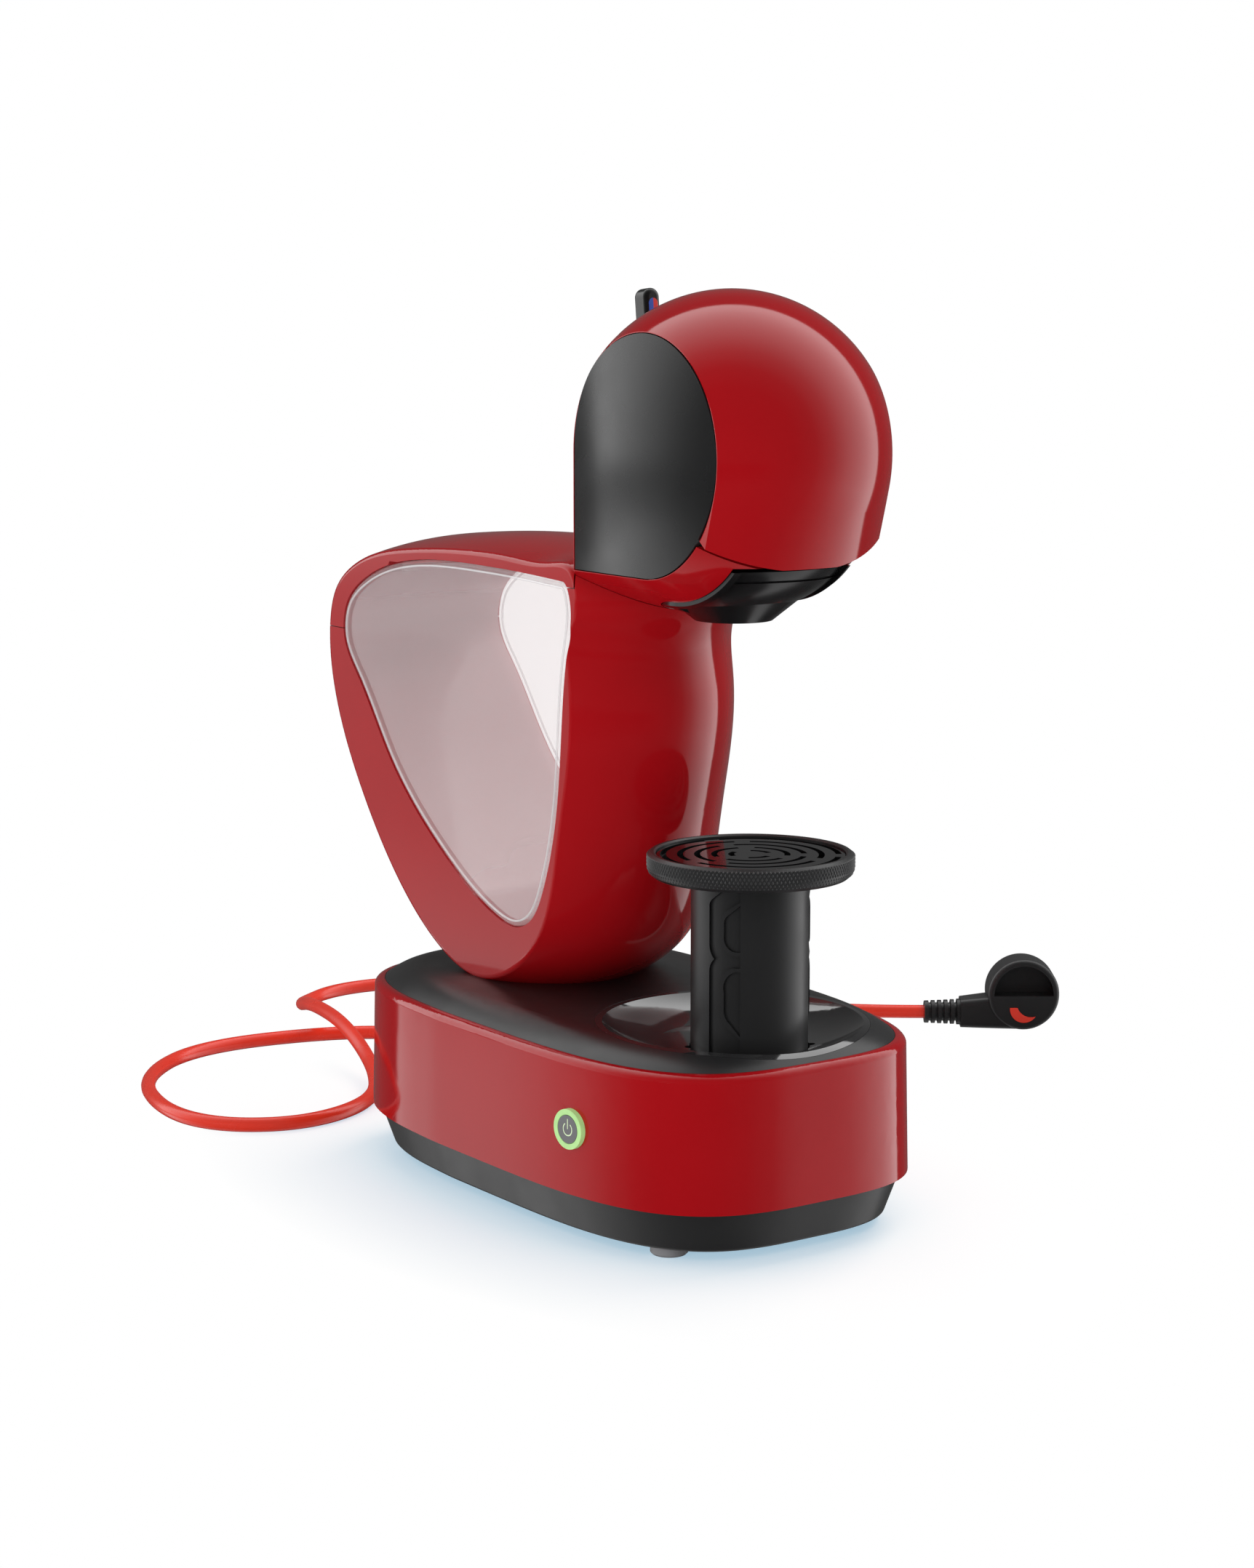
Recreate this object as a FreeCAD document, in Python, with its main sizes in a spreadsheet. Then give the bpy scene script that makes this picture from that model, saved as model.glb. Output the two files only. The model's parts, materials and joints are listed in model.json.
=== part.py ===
import FreeCAD, Part
import Sketcher
import math
import os
from FreeCAD import Vector, Placement, Rotation

# Pod coffee machine: superelliptic base, loop body with a clear tank, ball head with a hinged hood.
# Frame: +Z up, front toward -Y, floor at z = 0, millimetres.

doc = FreeCAD.newDocument("PodCoffeeMachine")
sheet = doc.addObject("Spreadsheet::Sheet", "Sizes")
aliases = []


def size(alias, value):
    """Put one driving dimension in the sheet."""
    aliases.append(alias)
    row = len(aliases)
    sheet.set("A%d" % row, alias)
    sheet.set("B%d" % row, str(value))
    sheet.setAlias("B%d" % row, alias)


# Base
size("base_half_width", 77.0)
size("base_half_depth", 129.25)
size("front_y", -151.25)
size("oval_power", 3.32)
size("foot_height", 4.0)
size("foot_radius", 7.5)
size("foot_inset", 29.5)
size("plinth_top", 21.1)
size("plinth_foot_inset", 8.3)
size("plinth_top_inset", 2.7)
size("pan_floor", 2.6)
size("pan_wall", 2.6)
size("lip_height", 7.0)
size("band_top", 75.7)
size("band_wall", 3.4)
size("band_draft", 1.1)
size("band_round", 3.2)
size("deck_inset", 5.0)
size("deck_rise", 6.3)
size("deck_roll", 15.0)
size("deck_skirt", 8.0)
size("seat_gap", 0.15)
size("post_radius", 5.0)
size("post_inset", 22.0)
size("post_setback", 99.25)
size("screw_radius", 1.5)
size("screw_head_radius", 3.2)
# Collar dish and height column
size("dish_setback", 10.7)
size("dish_radius", 53.0)
size("dish_floor_drop", 8.0)
size("dish_wall", 2.4)
size("column_setback", 47.05)
size("column_radius", 23.55)
size("column_wall", 2.7)
size("column_gap", 0.35)
size("column_engaged", 24.0)
size("column_travel", 48.0)
size("track_depth", 1.2)
size("track_clear", 0.3)
size("tray_rise", 60.4)
size("tray_radius", 40.7)
size("tray_depth", 9.8)
size("grid_thickness", 2.2)
size("slot_width", 2.4)
# Loop body, lid and tank
size("body_half_width", 41.0)
size("crown_front", 24.5)
size("crown_top", 5.5)
size("crown_rear", 0.3)
size("crown_foot", 8.0)
size("rim_round", 2.2)
size("seam_rise", 138.5)
size("lid_rise", 171.0)
size("tank_gap", 0.35)
size("tank_wall", 2.4)
size("tank_tilt", 20.0)
size("spout_radius", 8.0)
# Head
size("head_y", -90.0)
size("head_rise", 225.5)
size("head_radius", 63.3)
size("shell_wall", 2.5)
size("panel_x", 42.0)
size("panel_gap", 0.4)
size("panel_depth", 3.4)
size("panel_margin", 0.7)
size("panel_bulge", 3.2)
size("core_gap", 4.6)
size("hood_rear_angle", 61.6)
size("dome_edge_angle", 58.0)
size("hood_front_angle", 219.3)
size("chin_edge_angle", 222.8)
size("hinge_angle", 60.0)
size("hinge_inset", 4.4)
size("knuckle_radius", 2.5)
size("hinge_pin_radius", 1.2)
size("fit_gap", 0.05)
size("lip_reach", 3.2)
size("lip_spread", 50.0)
size("mouth_half_width", 28.4)
size("holder_gap", 0.4)
size("hood_clear", 1.0)
size("holder_top_drop", 42.3)
size("holder_proud", 1.2)
size("scoop_rim", 2.3)
size("scoop_depth", 1.5)
size("grip_depth", 2.0)
size("grip_height", 4.7)
size("nozzle_radius", 15.5)
size("nozzle_flare", 27.0)
size("nozzle_drop", 1.6)
size("pod_setback", 2.0)
size("pod_bore", 23.5)
size("pod_flange", 27.0)
size("lever_width", 7.4)
size("lever_depth", 8.6)
size("lever_length", 53.5)
size("lever_lean", 6.0)
size("lever_swing", 18.0)
# Power button
size("button_setback", 64.25)
size("button_drop", 28.1)
size("ring_radius", 8.0)
size("button_radius", 5.6)
# Cord and plug
size("cord_radius", 3.3)
size("gland_x", 40.0)
size("gland_z", 38.0)
size("gland_length", 34.0)
size("plug_radius", 17.8)
size("plug_depth", 20.0)
doc.recompute()


def val(alias):
    return float(getattr(sheet, alias))


def expr(alias):
    return "Sizes." + alias


nodes = []


def node(obj, label):
    """Mark a document object as one physical piece."""
    obj.Label = label
    nodes.append(obj)
    return obj


def feature(label, shape, place=Placement()):
    """Free-form piece whose shape comes from sheet values, set in its place."""
    obj = doc.addObject("Part::Feature", label)
    obj.Shape = shape
    obj.Placement = place
    return node(obj, label)


def cylinder(label, radius, height, place):
    """Parametric round piece; radius and height are sheet expressions."""
    obj = doc.addObject("Part::Cylinder", label)
    obj.setExpression("Radius", radius)
    obj.setExpression("Height", height)
    obj.Placement = place
    return obj


def cut(label, base, tool):
    obj = doc.addObject("Part::Cut", label)
    obj.Base = base
    obj.Tool = tool
    return obj


def plane_of(body, role):
    for item in body.Origin.OriginFeatures:
        if item.Role == role:
            return item


def sketch_on(body, role, name, offset=None):
    sk = body.newObject("Sketcher::SketchObject", name)
    sk.AttachmentSupport = [(plane_of(body, role), "")]
    sk.MapMode = "FlatFace"
    if offset is not None:
        sk.setExpression("AttachmentOffset.Base.z", offset)
    return sk


def polygon(sk, points):
    """Closed polyline of sketch points."""
    count = len(points)
    for i in range(count):
        a = Vector(points[i][0], points[i][1], 0)
        b = Vector(points[(i + 1) % count][0], points[(i + 1) % count][1], 0)
        sk.addGeometry(Part.LineSegment(a, b), False)
    for i in range(count):
        sk.addConstraint(Sketcher.Constraint("Coincident", i, 2, (i + 1) % count, 1))


def revolved(label, points, place):
    """Body turned about its own Z axis from (radius, height) points."""
    body = doc.addObject("PartDesign::Body", label)
    sk = sketch_on(body, "XZ_Plane", label + "_profile")
    polygon(sk, points)
    rev = body.newObject("PartDesign::Revolution", label + "_turn")
    rev.Profile = sk
    rev.ReferenceAxis = (sk, ["V_Axis"])
    rev.Angle = 360.0
    body.Placement = place
    return body


def at(x, y, z):
    return Placement(Vector(x, y, z), Rotation())


def box(x0, x1, y0, y1, z0, z1):
    return Part.makeBox(x1 - x0, y1 - y0, z1 - z0, Vector(x0, y0, z0))


def loft(wires, ruled):
    return Part.makeLoft(wires, True, ruled)


def arc(a, b, c):
    return Part.Arc(a, b, c).toShape()


def line(a, b):
    return Part.LineSegment(a, b).toShape()


deck_top = val("band_top") + val("deck_rise")
front_edge = val("front_y")
centre_y = front_edge + val("base_half_depth")


def up(y, rise):
    """Point in the middle plane at a height above the deck."""
    return Vector(0, y, deck_top + rise)


def oval(inset, z):
    """Superelliptic outline of the base in four quarters, set in by a wall or clearance."""
    half_x = val("base_half_width") - inset
    half_y = val("base_half_depth") - inset
    power = 2.0 / val("oval_power")
    ends = [Vector(0, 1, 0), Vector(-1, 0, 0), Vector(0, -1, 0), Vector(1, 0, 0)]
    steps = 10
    quarters = []
    for k in range(4):
        points = []
        for i in range(steps + 1):
            turn = 0.5 * math.pi * (k + i / steps)
            c = math.cos(turn)
            s = math.sin(turn)
            x = half_x * math.copysign(abs(c) ** power, c)
            y = half_y * math.copysign(abs(s) ** power, s)
            points.append(Vector(x, y + centre_y, z))
        curve = Part.BSplineCurve()
        curve.interpolate(Points=points, InitialTangent=ends[k], FinalTangent=ends[(k + 1) % 4])
        quarters.append(curve.toShape())
    return Part.Wire(quarters)


def turned(points, centre, smooth):
    """Solid of revolution about a vertical axis; the smooth points form one curve."""
    first = [Vector(centre.x + r, centre.y, z) for r, z in smooth]
    curve = Part.BSplineCurve()
    curve.interpolate(Points=first)
    edges = [curve.toShape()]
    ring = [first[-1]] + [Vector(centre.x + r, centre.y, z) for r, z in points] + [first[0]]
    for a, b in zip(ring, ring[1:]):
        edges.append(Part.LineSegment(a, b).toShape())
    face = Part.Face(Part.Wire(edges))
    return face.revolve(centre, Vector(0, 0, 1), 360)


def route(points, radius):
    """Round tube along straight runs joined by the largest tangent arcs; returns solid, radii and length."""
    path = []
    radii = []
    start = points[0]
    for i in range(1, len(points) - 1):
        back = points[i - 1] - points[i]
        ahead = points[i + 1] - points[i]
        turn = math.pi - back.getAngle(ahead)
        reach = 0.45 * min(back.Length, ahead.Length)
        radii.append(reach / math.tan(turn / 2.0))
        back.normalize()
        ahead.normalize()
        p_in = points[i] + back * reach
        p_out = points[i] + ahead * reach
        middle = back + ahead
        middle.normalize()
        depth = radii[-1] / math.cos(turn / 2.0) - radii[-1]
        path.append(Part.LineSegment(start, p_in).toShape())
        path.append(Part.Arc(p_in, points[i] + middle * depth, p_out).toShape())
        start = p_out
    path.append(Part.LineSegment(start, points[-1]).toShape())
    wire = Part.Wire(path)
    ring = Part.Wire([Part.Circle(points[0], points[1] - points[0], radius).toShape()])
    tube = wire.makePipeShell([ring], True, False)
    return tube, radii, wire.Length


# Base: floor pan, band, deck and collar

pan = loft([oval(val("plinth_foot_inset"), val("foot_height")),
            oval(val("plinth_top_inset"), val("plinth_top"))], True)
low_edges = [e for e in pan.Edges if e.BoundBox.ZMax < val("foot_height") + 0.1]
pan = pan.makeFillet(1.6, low_edges)
floor_z = val("foot_height") + val("pan_floor")
hollow = loft([oval(val("plinth_foot_inset") + val("pan_wall"), floor_z),
               oval(val("plinth_top_inset") + val("pan_wall"), val("plinth_top"))], True)
lip_inset = val("band_wall") + 0.3
lip_top = val("plinth_top") + val("lip_height")
lip_foot = val("plinth_top") - 3.0
lip = loft([oval(lip_inset, val("plinth_top")), oval(lip_inset, lip_top)], True)
lip_in = lip_inset + val("pan_wall")
lip = lip.cut(loft([oval(lip_in, lip_foot), oval(lip_in, lip_top)], True))
pan = pan.cut(hollow).fuse(lip)
skirt_z = val("band_top") - val("deck_skirt")
post_x = val("base_half_width") - val("post_inset")
posts = []
for sx in (-1, 1):
    for sy in (-1, 1):
        posts.append(Vector(sx * post_x, centre_y + sy * (val("base_half_depth") - val("post_setback")), 0))
for p in posts:
    post = Part.makeCylinder(val("post_radius"), skirt_z - floor_z + 0.5, Vector(p.x, p.y, floor_z - 0.5))
    pan = pan.fuse(post)
for p in posts:
    bore = Part.makeCylinder(val("screw_radius") + 0.1, skirt_z, Vector(p.x, p.y, 0))
    head_bore = Part.makeCylinder(val("screw_head_radius") + 0.3, val("foot_height") + 6.0, Vector(p.x, p.y))
    pan = pan.cut(bore).cut(head_bore)
feature("base_pan", pan.removeSplitter())

column_y = front_edge + val("column_setback")
column_at = Vector(0, column_y, 0)
dish_at = Vector(0, column_y + val("dish_setback"), 0)


def on_band(y, z):
    """Point and outward normal of the left band wall at one height."""
    draft = val("band_draft") * (z - val("plinth_top")) / (val("band_top") - val("plinth_top"))
    half_x = val("base_half_width") - draft
    half_y = val("base_half_depth") - draft
    share = abs(y - centre_y) / half_y
    x = -half_x * (1.0 - share ** val("oval_power")) ** (1.0 / val("oval_power"))
    nx = -abs(x / half_x) ** (val("oval_power") - 1.0) / half_x
    ny = math.copysign(share ** (val("oval_power") - 1.0) / half_y, y - centre_y)
    normal = Vector(nx, ny, 0)
    normal.normalize()
    return Vector(x, y, z), normal


button_z = val("band_top") - val("button_drop")
button_at, button_out = on_band(front_edge + val("button_setback"), button_z)
gland_share = val("gland_x") / val("base_half_width")
gland_deep = (1.0 - gland_share ** val("oval_power")) ** (1.0 / val("oval_power"))
gland_at = Vector(val("gland_x"), centre_y + val("base_half_depth") * gland_deep, val("gland_z"))
gland_out = Vector(gland_share ** (val("oval_power") - 1.0) / val("base_half_width"),
                   gland_deep ** (val("oval_power") - 1.0) / val("base_half_depth"), 0)
gland_out.normalize()

round_z = val("band_top") - val("band_round")
band = loft([oval(0.0, val("plinth_top")), oval(val("band_draft"), round_z)], True)
shoulder = []
for degrees in (0.0, 30.0, 60.0, 90.0):
    swing = math.radians(degrees)
    inset = val("band_draft") + val("band_round") * (1.0 - math.cos(swing))
    shoulder.append(oval(inset, round_z + val("band_round") * math.sin(swing)))
band = band.fuse(loft(shoulder, False))
ledge_z = val("band_top") - 5.0
band = band.cut(loft([oval(val("band_wall"), val("plinth_top")),
                      oval(val("band_wall") + val("band_draft"), ledge_z)], True))
deck_edge = val("deck_inset")
band = band.cut(loft([oval(deck_edge, ledge_z - 1.0), oval(deck_edge, val("band_top") + 1.0)], True))
band = band.cut(Part.makeCylinder(val("ring_radius") - 0.8, 20.0, button_at - button_out * 10.0, button_out))
band = band.cut(Part.makeCylinder(val("ring_radius") + 0.05, 10.0, button_at - button_out * 0.6, button_out))
band = band.cut(Part.makeCylinder(6.2, 30.0, gland_at - gland_out * 20.0, gland_out))
feature("base_band", band)

edge = val("deck_inset") + val("seat_gap")
skirt = loft([oval(edge, skirt_z), oval(edge, val("band_top"))], True)
rolls = []
for share in (0.0, 0.13, 0.33, 0.6, 1.0):
    rise = val("deck_rise") * (1.0 - (1.0 - share) ** 2)
    rolls.append(oval(edge + val("deck_roll") * share, val("band_top") + rise))
deck_full = skirt.fuse(loft(rolls, False))
dish_floor = deck_top - val("dish_floor_drop")
dr = val("dish_radius")
wall = val("dish_wall")
bowl = turned([(dr + 0.4, 110.0), (0.0, 110.0), (0.0, dish_floor)], dish_at,
              [(0.57 * dr, dish_floor), (0.7 * dr, dish_floor + 0.9), (0.85 * dr, dish_floor + 3.4),
               (0.94 * dr, dish_floor + 6.0), (dr + 0.4, deck_top + 0.8)])
bowl_outer = turned([(dr + wall + 0.4, 110.0), (0.0, 110.0), (0.0, dish_floor - wall)], dish_at,
                    [(0.57 * dr + 0.5, dish_floor - wall), (0.7 * dr + 1.0, dish_floor - wall + 1.0),
                     (0.85 * dr + 1.5, dish_floor - wall + 3.8), (0.94 * dr + 2.0, dish_floor - wall + 6.7),
                     (dr + wall + 0.4, deck_top + 0.8)])
bore_radius = val("column_radius") + val("column_gap")
bore = Part.makeCylinder(bore_radius, 200.0, Vector(0, column_y, 0))
dish = deck_full.common(bowl_outer).cut(bowl).cut(bore)
for angle in (-32.0, 88.0, 152.0):
    out = Vector(math.cos(math.radians(angle)), math.sin(math.radians(angle)), 0)
    notch_at = column_at + out * bore_radius + Vector(0, 0, dish_floor - 20.0)
    dish = dish.cut(Part.makeCylinder(2.2, 60.0, notch_at))
feature("collar_dish", dish)

seat = bowl_outer.copy()
seat.translate(Vector(0, 0, -val("seat_gap")))
ceiling = deck_top - 3.2
pocket = loft([oval(edge + 9.0, skirt_z - 1.0), oval(edge + 9.0, ceiling)], True)
deck = deck_full.cut(pocket)
for p in posts:
    boss = Part.makeCylinder(val("post_radius"), ceiling - skirt_z + 0.5, Vector(p.x, p.y, skirt_z))
    deck = deck.fuse(boss)
deck = deck.cut(seat)
for p in posts:
    deck = deck.cut(Part.makeCylinder(val("screw_radius"), 8.0, Vector(p.x, p.y, skirt_z - 1.0)))
duct_x = 22.0
duct_y0 = 3.4
duct_y1 = 22.0
deck = deck.cut(box(-duct_x, duct_x, duct_y0, duct_y1, skirt_z - 5.0, deck_top + 5.0))
feature("base_deck", deck.removeSplitter())

feet = doc.addObject("PartDesign::Body", "rubber_feet")
feet_sketch = sketch_on(feet, "XY_Plane", "feet_outline")
foot_x = val("base_half_width") - val("foot_inset")
foot_dy = val("base_half_depth") - val("foot_inset") - 6.0
for sx in (-1, 1):
    for sy in (-1, 1):
        where = Vector(sx * foot_x, centre_y + sy * foot_dy, 0)
        index = feet_sketch.addGeometry(Part.Circle(where, Vector(0, 0, 1), val("foot_radius")), False)
        rule = feet_sketch.addConstraint(Sketcher.Constraint("Radius", index, val("foot_radius")))
        feet_sketch.setExpression("Constraints[%d]" % rule, expr("foot_radius"))
feet_pad = feet.newObject("PartDesign::Pad", "feet_pad")
feet_pad.Profile = feet_sketch
feet_pad.setExpression("Length", expr("foot_height"))
doc.recompute()
feet_round = feet.newObject("PartDesign::Chamfer", "feet_round")
bottom = ["Edge%d" % (i + 1) for i, e in enumerate(feet_pad.Shape.Edges) if e.BoundBox.ZMax < 0.01]
feet_round.Base = (feet_pad, bottom)
feet_round.Size = 0.8
node(feet, "rubber_feet")

screws = []
head_z = val("foot_height") + 6.0
for p in posts:
    shank = Part.makeCylinder(val("screw_radius"), skirt_z + 5.0 - head_z, Vector(p.x, p.y, head_z))
    cap = Part.makeCylinder(val("screw_head_radius"), 2.2, Vector(p.x, p.y, head_z - 2.2))
    slot = box(p.x - 4.0, p.x + 4.0, p.y - 0.5, p.y + 0.5, head_z - 3.0, head_z - 1.2)
    screws.append(shank.fuse(cap).cut(slot))
feature("base_screws", Part.makeCompound(screws))

# Height column, its guide, tray and grid

guide_low = floor_z
guide_top = dish_floor - wall
guide_radius = bore_radius + val("column_wall")
guide = Part.makeCylinder(guide_radius, guide_top - guide_low, Vector(0, column_y, guide_low)).cut(bore)
column_low = deck_top - val("column_engaged")
track_floor = val("column_radius") - val("track_depth")
pin_z = column_low + 8.0
track_angles = (-148.0, -28.0, 92.0)
for angle in track_angles:
    out = Vector(math.cos(math.radians(angle)), math.sin(math.radians(angle)), 0)
    side = Vector(-out.y, out.x, 0)
    tip = column_at + side * -5.0 + out * (track_floor + val("track_clear")) + Vector(0, 0, pin_z)
    guide = guide.fuse(Part.makeCylinder(1.0, val("column_radius") + 2.0 - track_floor, tip, out))
feature("column_guide", guide)

tray_z = deck_top + val("tray_rise")
column = Part.makeCylinder(val("column_radius"), tray_z - column_low, Vector(0, column_y, column_low))
column_bore = val("column_radius") - val("column_wall")
column = column.cut(Part.makeCylinder(column_bore, 400.0, Vector(0, column_y, 0)))
track_top = tray_z - 0.8
middle_z = 0.5 * (deck_top + tray_z)
track_right = 4.6
rib = 1.5


def dee(round_end, slant_end, left, right):
    """D outline on the track's straight side, round at one end and slanted at the other."""
    rise = slant_end - round_end

    def spot(across, share):
        return Vector(0, across, round_end + rise * share)

    corner = spot(right, 1.0)
    slope = spot(left + 2.6, 0.81)
    cheek = spot(left, 0.6)
    jaw = spot(left, 0.33)
    chin = spot(left + 5.1, 0.0)
    heel = spot(right, 0.0)
    edges = [line(corner, slope), arc(slope, spot(left + 0.7, 0.72), cheek), line(cheek, jaw)]
    edges += [arc(jaw, spot(left + 1.4, 0.09), chin), line(chin, heel), line(heel, corner)]
    return Part.Face(Part.Wire(edges))


def track_cutter(angle):
    """Bayonet track: wavy wall on one side, two D-shaped ribs in it with a pocket in each."""
    low = column_low + 3.0
    left = -8.8
    pts = [Vector(0, track_right, low), Vector(0, track_right, track_top), Vector(0, -1.0, track_top),
           Vector(0, -7.3, track_top - 5.0), Vector(0, left, track_top - 8.4),
           Vector(0, left, middle_z + 6.0), Vector(0, -6.4, middle_z + 0.6),
           Vector(0, left, middle_z - 4.4), Vector(0, left, low)]
    edges = [line(pts[0], pts[1]), line(pts[1], pts[2]), line(pts[2], pts[3])]
    edges.append(arc(pts[3], Vector(0, -8.5, track_top - 6.5), pts[4]))
    edges.append(line(pts[4], pts[5]))
    edges.append(arc(pts[5], Vector(0, -8.0, middle_z + 2.8), pts[6]))
    edges.append(arc(pts[6], Vector(0, -8.1, middle_z - 1.6), pts[7]))
    edges.append(line(pts[7], pts[8]))
    edges.append(line(pts[8], pts[0]))
    plate = Part.Face(Part.Wire(edges))
    pockets = []
    for round_end, slant_end in ((middle_z + 2.6, track_top - 4.8), (middle_z - 2.2, deck_top - 1.3)):
        inward = math.copysign(rib, slant_end - round_end)
        plate = plate.cut(dee(round_end, slant_end, -3.6, track_right + 1.0))
        pockets.append(dee(round_end + inward, slant_end - 1.3 * inward, rib - 3.6, track_right))
    cutter = plate.extrude(Vector(40.0, 0, 0))
    for pocket in pockets:
        cutter = cutter.fuse(pocket.extrude(Vector(40.0, 0, 0)))
    cutter.rotate(Vector(0, 0, 0), Vector(0, 0, 1), angle)
    cutter.translate(column_at)
    return cutter.cut(Part.makeCylinder(track_floor, 400.0, Vector(0, column_y, 0)))


for angle in track_angles:
    column = column.cut(track_cutter(angle))
feature("drip_column", column)

tr = val("tray_radius")
spigot = val("column_radius") - val("column_wall") - 0.3
tray_top = val("tray_depth")
grid_seat = tray_top - val("grid_thickness") - 1.2
tray = revolved("drip_tray", [
    (0.0, 2.0), (tr - 5.4, 2.0), (tr - 5.4, grid_seat), (tr - 3.2, grid_seat), (tr - 3.2, tray_top - 0.6),
    (tr - 2.4, tray_top), (tr - 1.2, tray_top), (tr, tray_top - 1.0), (tr, 3.4),
    (tr - 0.7, 1.6), (tr - 2.1, 0.4), (tr - 4.0, 0.0), (spigot, 0.0), (spigot, -9.0), (spigot - 2.0, -9.0),
    (spigot - 2.0, -0.6), (0.0, -0.6)],
    at(0, column_y, tray_z))
node(tray, "drip_tray")

grid = doc.addObject("PartDesign::Body", "drip_grid")
grid_sketch = sketch_on(grid, "XY_Plane", "grid_outline")
grid_sketch.addGeometry(Part.Circle(Vector(0, 0, 0), Vector(0, 0, 1), tr - 3.6), False)
grid_sketch.addConstraint(Sketcher.Constraint("Coincident", 0, 3, -1, 1))
grid_sketch.addConstraint(Sketcher.Constraint("Radius", 0, tr - 3.6))
grid_sketch.setExpression("Constraints[1]", expr("tray_radius") + " - 3.6")
grid_pad = grid.newObject("PartDesign::Pad", "grid_pad")
grid_pad.Profile = grid_sketch
grid_pad.setExpression("Length", expr("grid_thickness"))
slots = sketch_on(grid, "XY_Plane", "grid_slots")
for ring in (1, 2, 3, 4, 5):
    inner = 0.165 * tr * ring - 0.5 * val("slot_width") + 1.0
    outer = inner + val("slot_width")
    bridge = 3.0 / inner
    first = math.radians(-60.0) + bridge + 0.35 * (ring % 2)
    last = math.radians(60.0) - bridge + 0.35 * (ring % 2)
    axis = Vector(0, 0, 1)
    low_arc = Part.ArcOfCircle(Part.Circle(Vector(0, 0, 0), axis, inner), first, last)
    high_arc = Part.ArcOfCircle(Part.Circle(Vector(0, 0, 0), axis, outer), first, last)
    slots.addGeometry(low_arc, False)
    slots.addGeometry(high_arc, False)
    slots.addGeometry(Part.LineSegment(low_arc.StartPoint, high_arc.StartPoint), False)
    slots.addGeometry(Part.LineSegment(low_arc.EndPoint, high_arc.EndPoint), False)
grid_pocket = grid.newObject("PartDesign::Pocket", "grid_pocket")
grid_pocket.Profile = slots
grid_pocket.Type = 1
grid_pocket.Reversed = True
doc.recompute()
grid_turn = grid.newObject("PartDesign::PolarPattern", "grid_turn")
grid_turn.Originals = [grid_pocket]
grid_turn.Axis = (grid_sketch, ["N_Axis"])
grid_turn.Angle = 360.0
grid_turn.Occurrences = 3
grid.Tip = grid_turn
grid.Placement = at(0, column_y, tray_z + grid_seat)
node(grid, "drip_grid")

# Loop body: crowned sections lofted across the width, tank window through it

loop_points = [
    up(-39.6, 156.0), up(-41.2, 172.5), up(-37.5, 178.3), up(-20.0, 179.4), up(8.0, 179.8), up(35.0, 180.1),
    up(88.3, 176.9), up(130.7, 167.4), up(148.5, 154.1), up(153.5, 137.0), up(147.0, 102.1), up(126.7, 66.7),
    up(92.6, 28.1), up(60.0, 6.4), up(36.7, 0.0), up(12.1, 4.7), up(-14.5, 25.5), up(-30.7, 75.0),
    up(-37.9, 130.0)]
window_points = [
    up(-33.0, 173.0), up(0.0, 174.4), up(35.1, 174.9), up(95.3, 170.6), up(123.7, 160.7), up(137.4, 149.0),
    up(139.6, 135.0), up(128.0, 118.0), up(102.0, 85.3), up(56.0, 47.6), up(16.7, 28.4), up(2.3, 26.5),
    up(-9.0, 31.2), up(-18.0, 44.5), up(-29.7, 87.7), up(-36.6, 146.0), up(-37.6, 168.0)]


def outward(points, i):
    """Outward normal of a closed run of points (clockwise seen from +X)."""
    run = points[(i + 1) % len(points)] - points[i - 1]
    normal = Vector(0, -run.z, run.y)
    normal.normalize()
    return normal


def loop_wire(x):
    """Loop outline at one station across the width, swollen toward the middle."""
    swell = 1.0 - (x / val("body_half_width")) ** 2
    points = []
    for i in range(len(loop_points)):
        n = outward(loop_points, i)
        dy = val("crown_rear") * max(n.y, 0.0) - val("crown_front") * max(-n.y, 0.0)
        dz = val("crown_top") * max(n.z, 0.0) - val("crown_foot") * max(-n.z, 0.0)
        points.append(loop_points[i] + Vector(x, dy * swell, dz * swell))
    curve = Part.BSplineCurve()
    curve.interpolate(Points=points, PeriodicFlag=True)
    return Part.Wire([curve.toShape()])


def window_wire(inset, x):
    """Tank window outline in four runs, set in by a clearance or wall, at one station across the width."""
    points = []
    for i in range(len(window_points)):
        points.append(window_points[i] - outward(window_points, i) * inset + Vector(x, 0, 0))
    curve = Part.BSplineCurve()
    curve.interpolate(Points=points, PeriodicFlag=True)
    edge = curve.toShape()
    start = edge.FirstParameter
    run = 0.25 * (edge.LastParameter - start)
    return edge.split([start + run, start + 2.0 * run, start + 3.0 * run])


def window_prism(inset, half):
    return Part.Face(window_wire(inset, -half)).extrude(Vector(2.0 * half, 0, 0))


bw = val("body_half_width")
loop = loft([loop_wire(-bw), loop_wire(-0.5 * bw), loop_wire(0.0), loop_wire(0.5 * bw), loop_wire(bw)], False)
flank_edges = [e for e in loop.Edges if e.BoundBox.XLength < 0.01]
loop = loop.makeFillet(val("rim_round"), flank_edges)

head_at = up(val("head_y"), val("head_rise"))


def spine(radius):
    """Upright cylinder that carries the neck line down behind the column."""
    return Part.makeCylinder(radius, 400.0, Vector(0, val("head_y"), 0))


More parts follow.
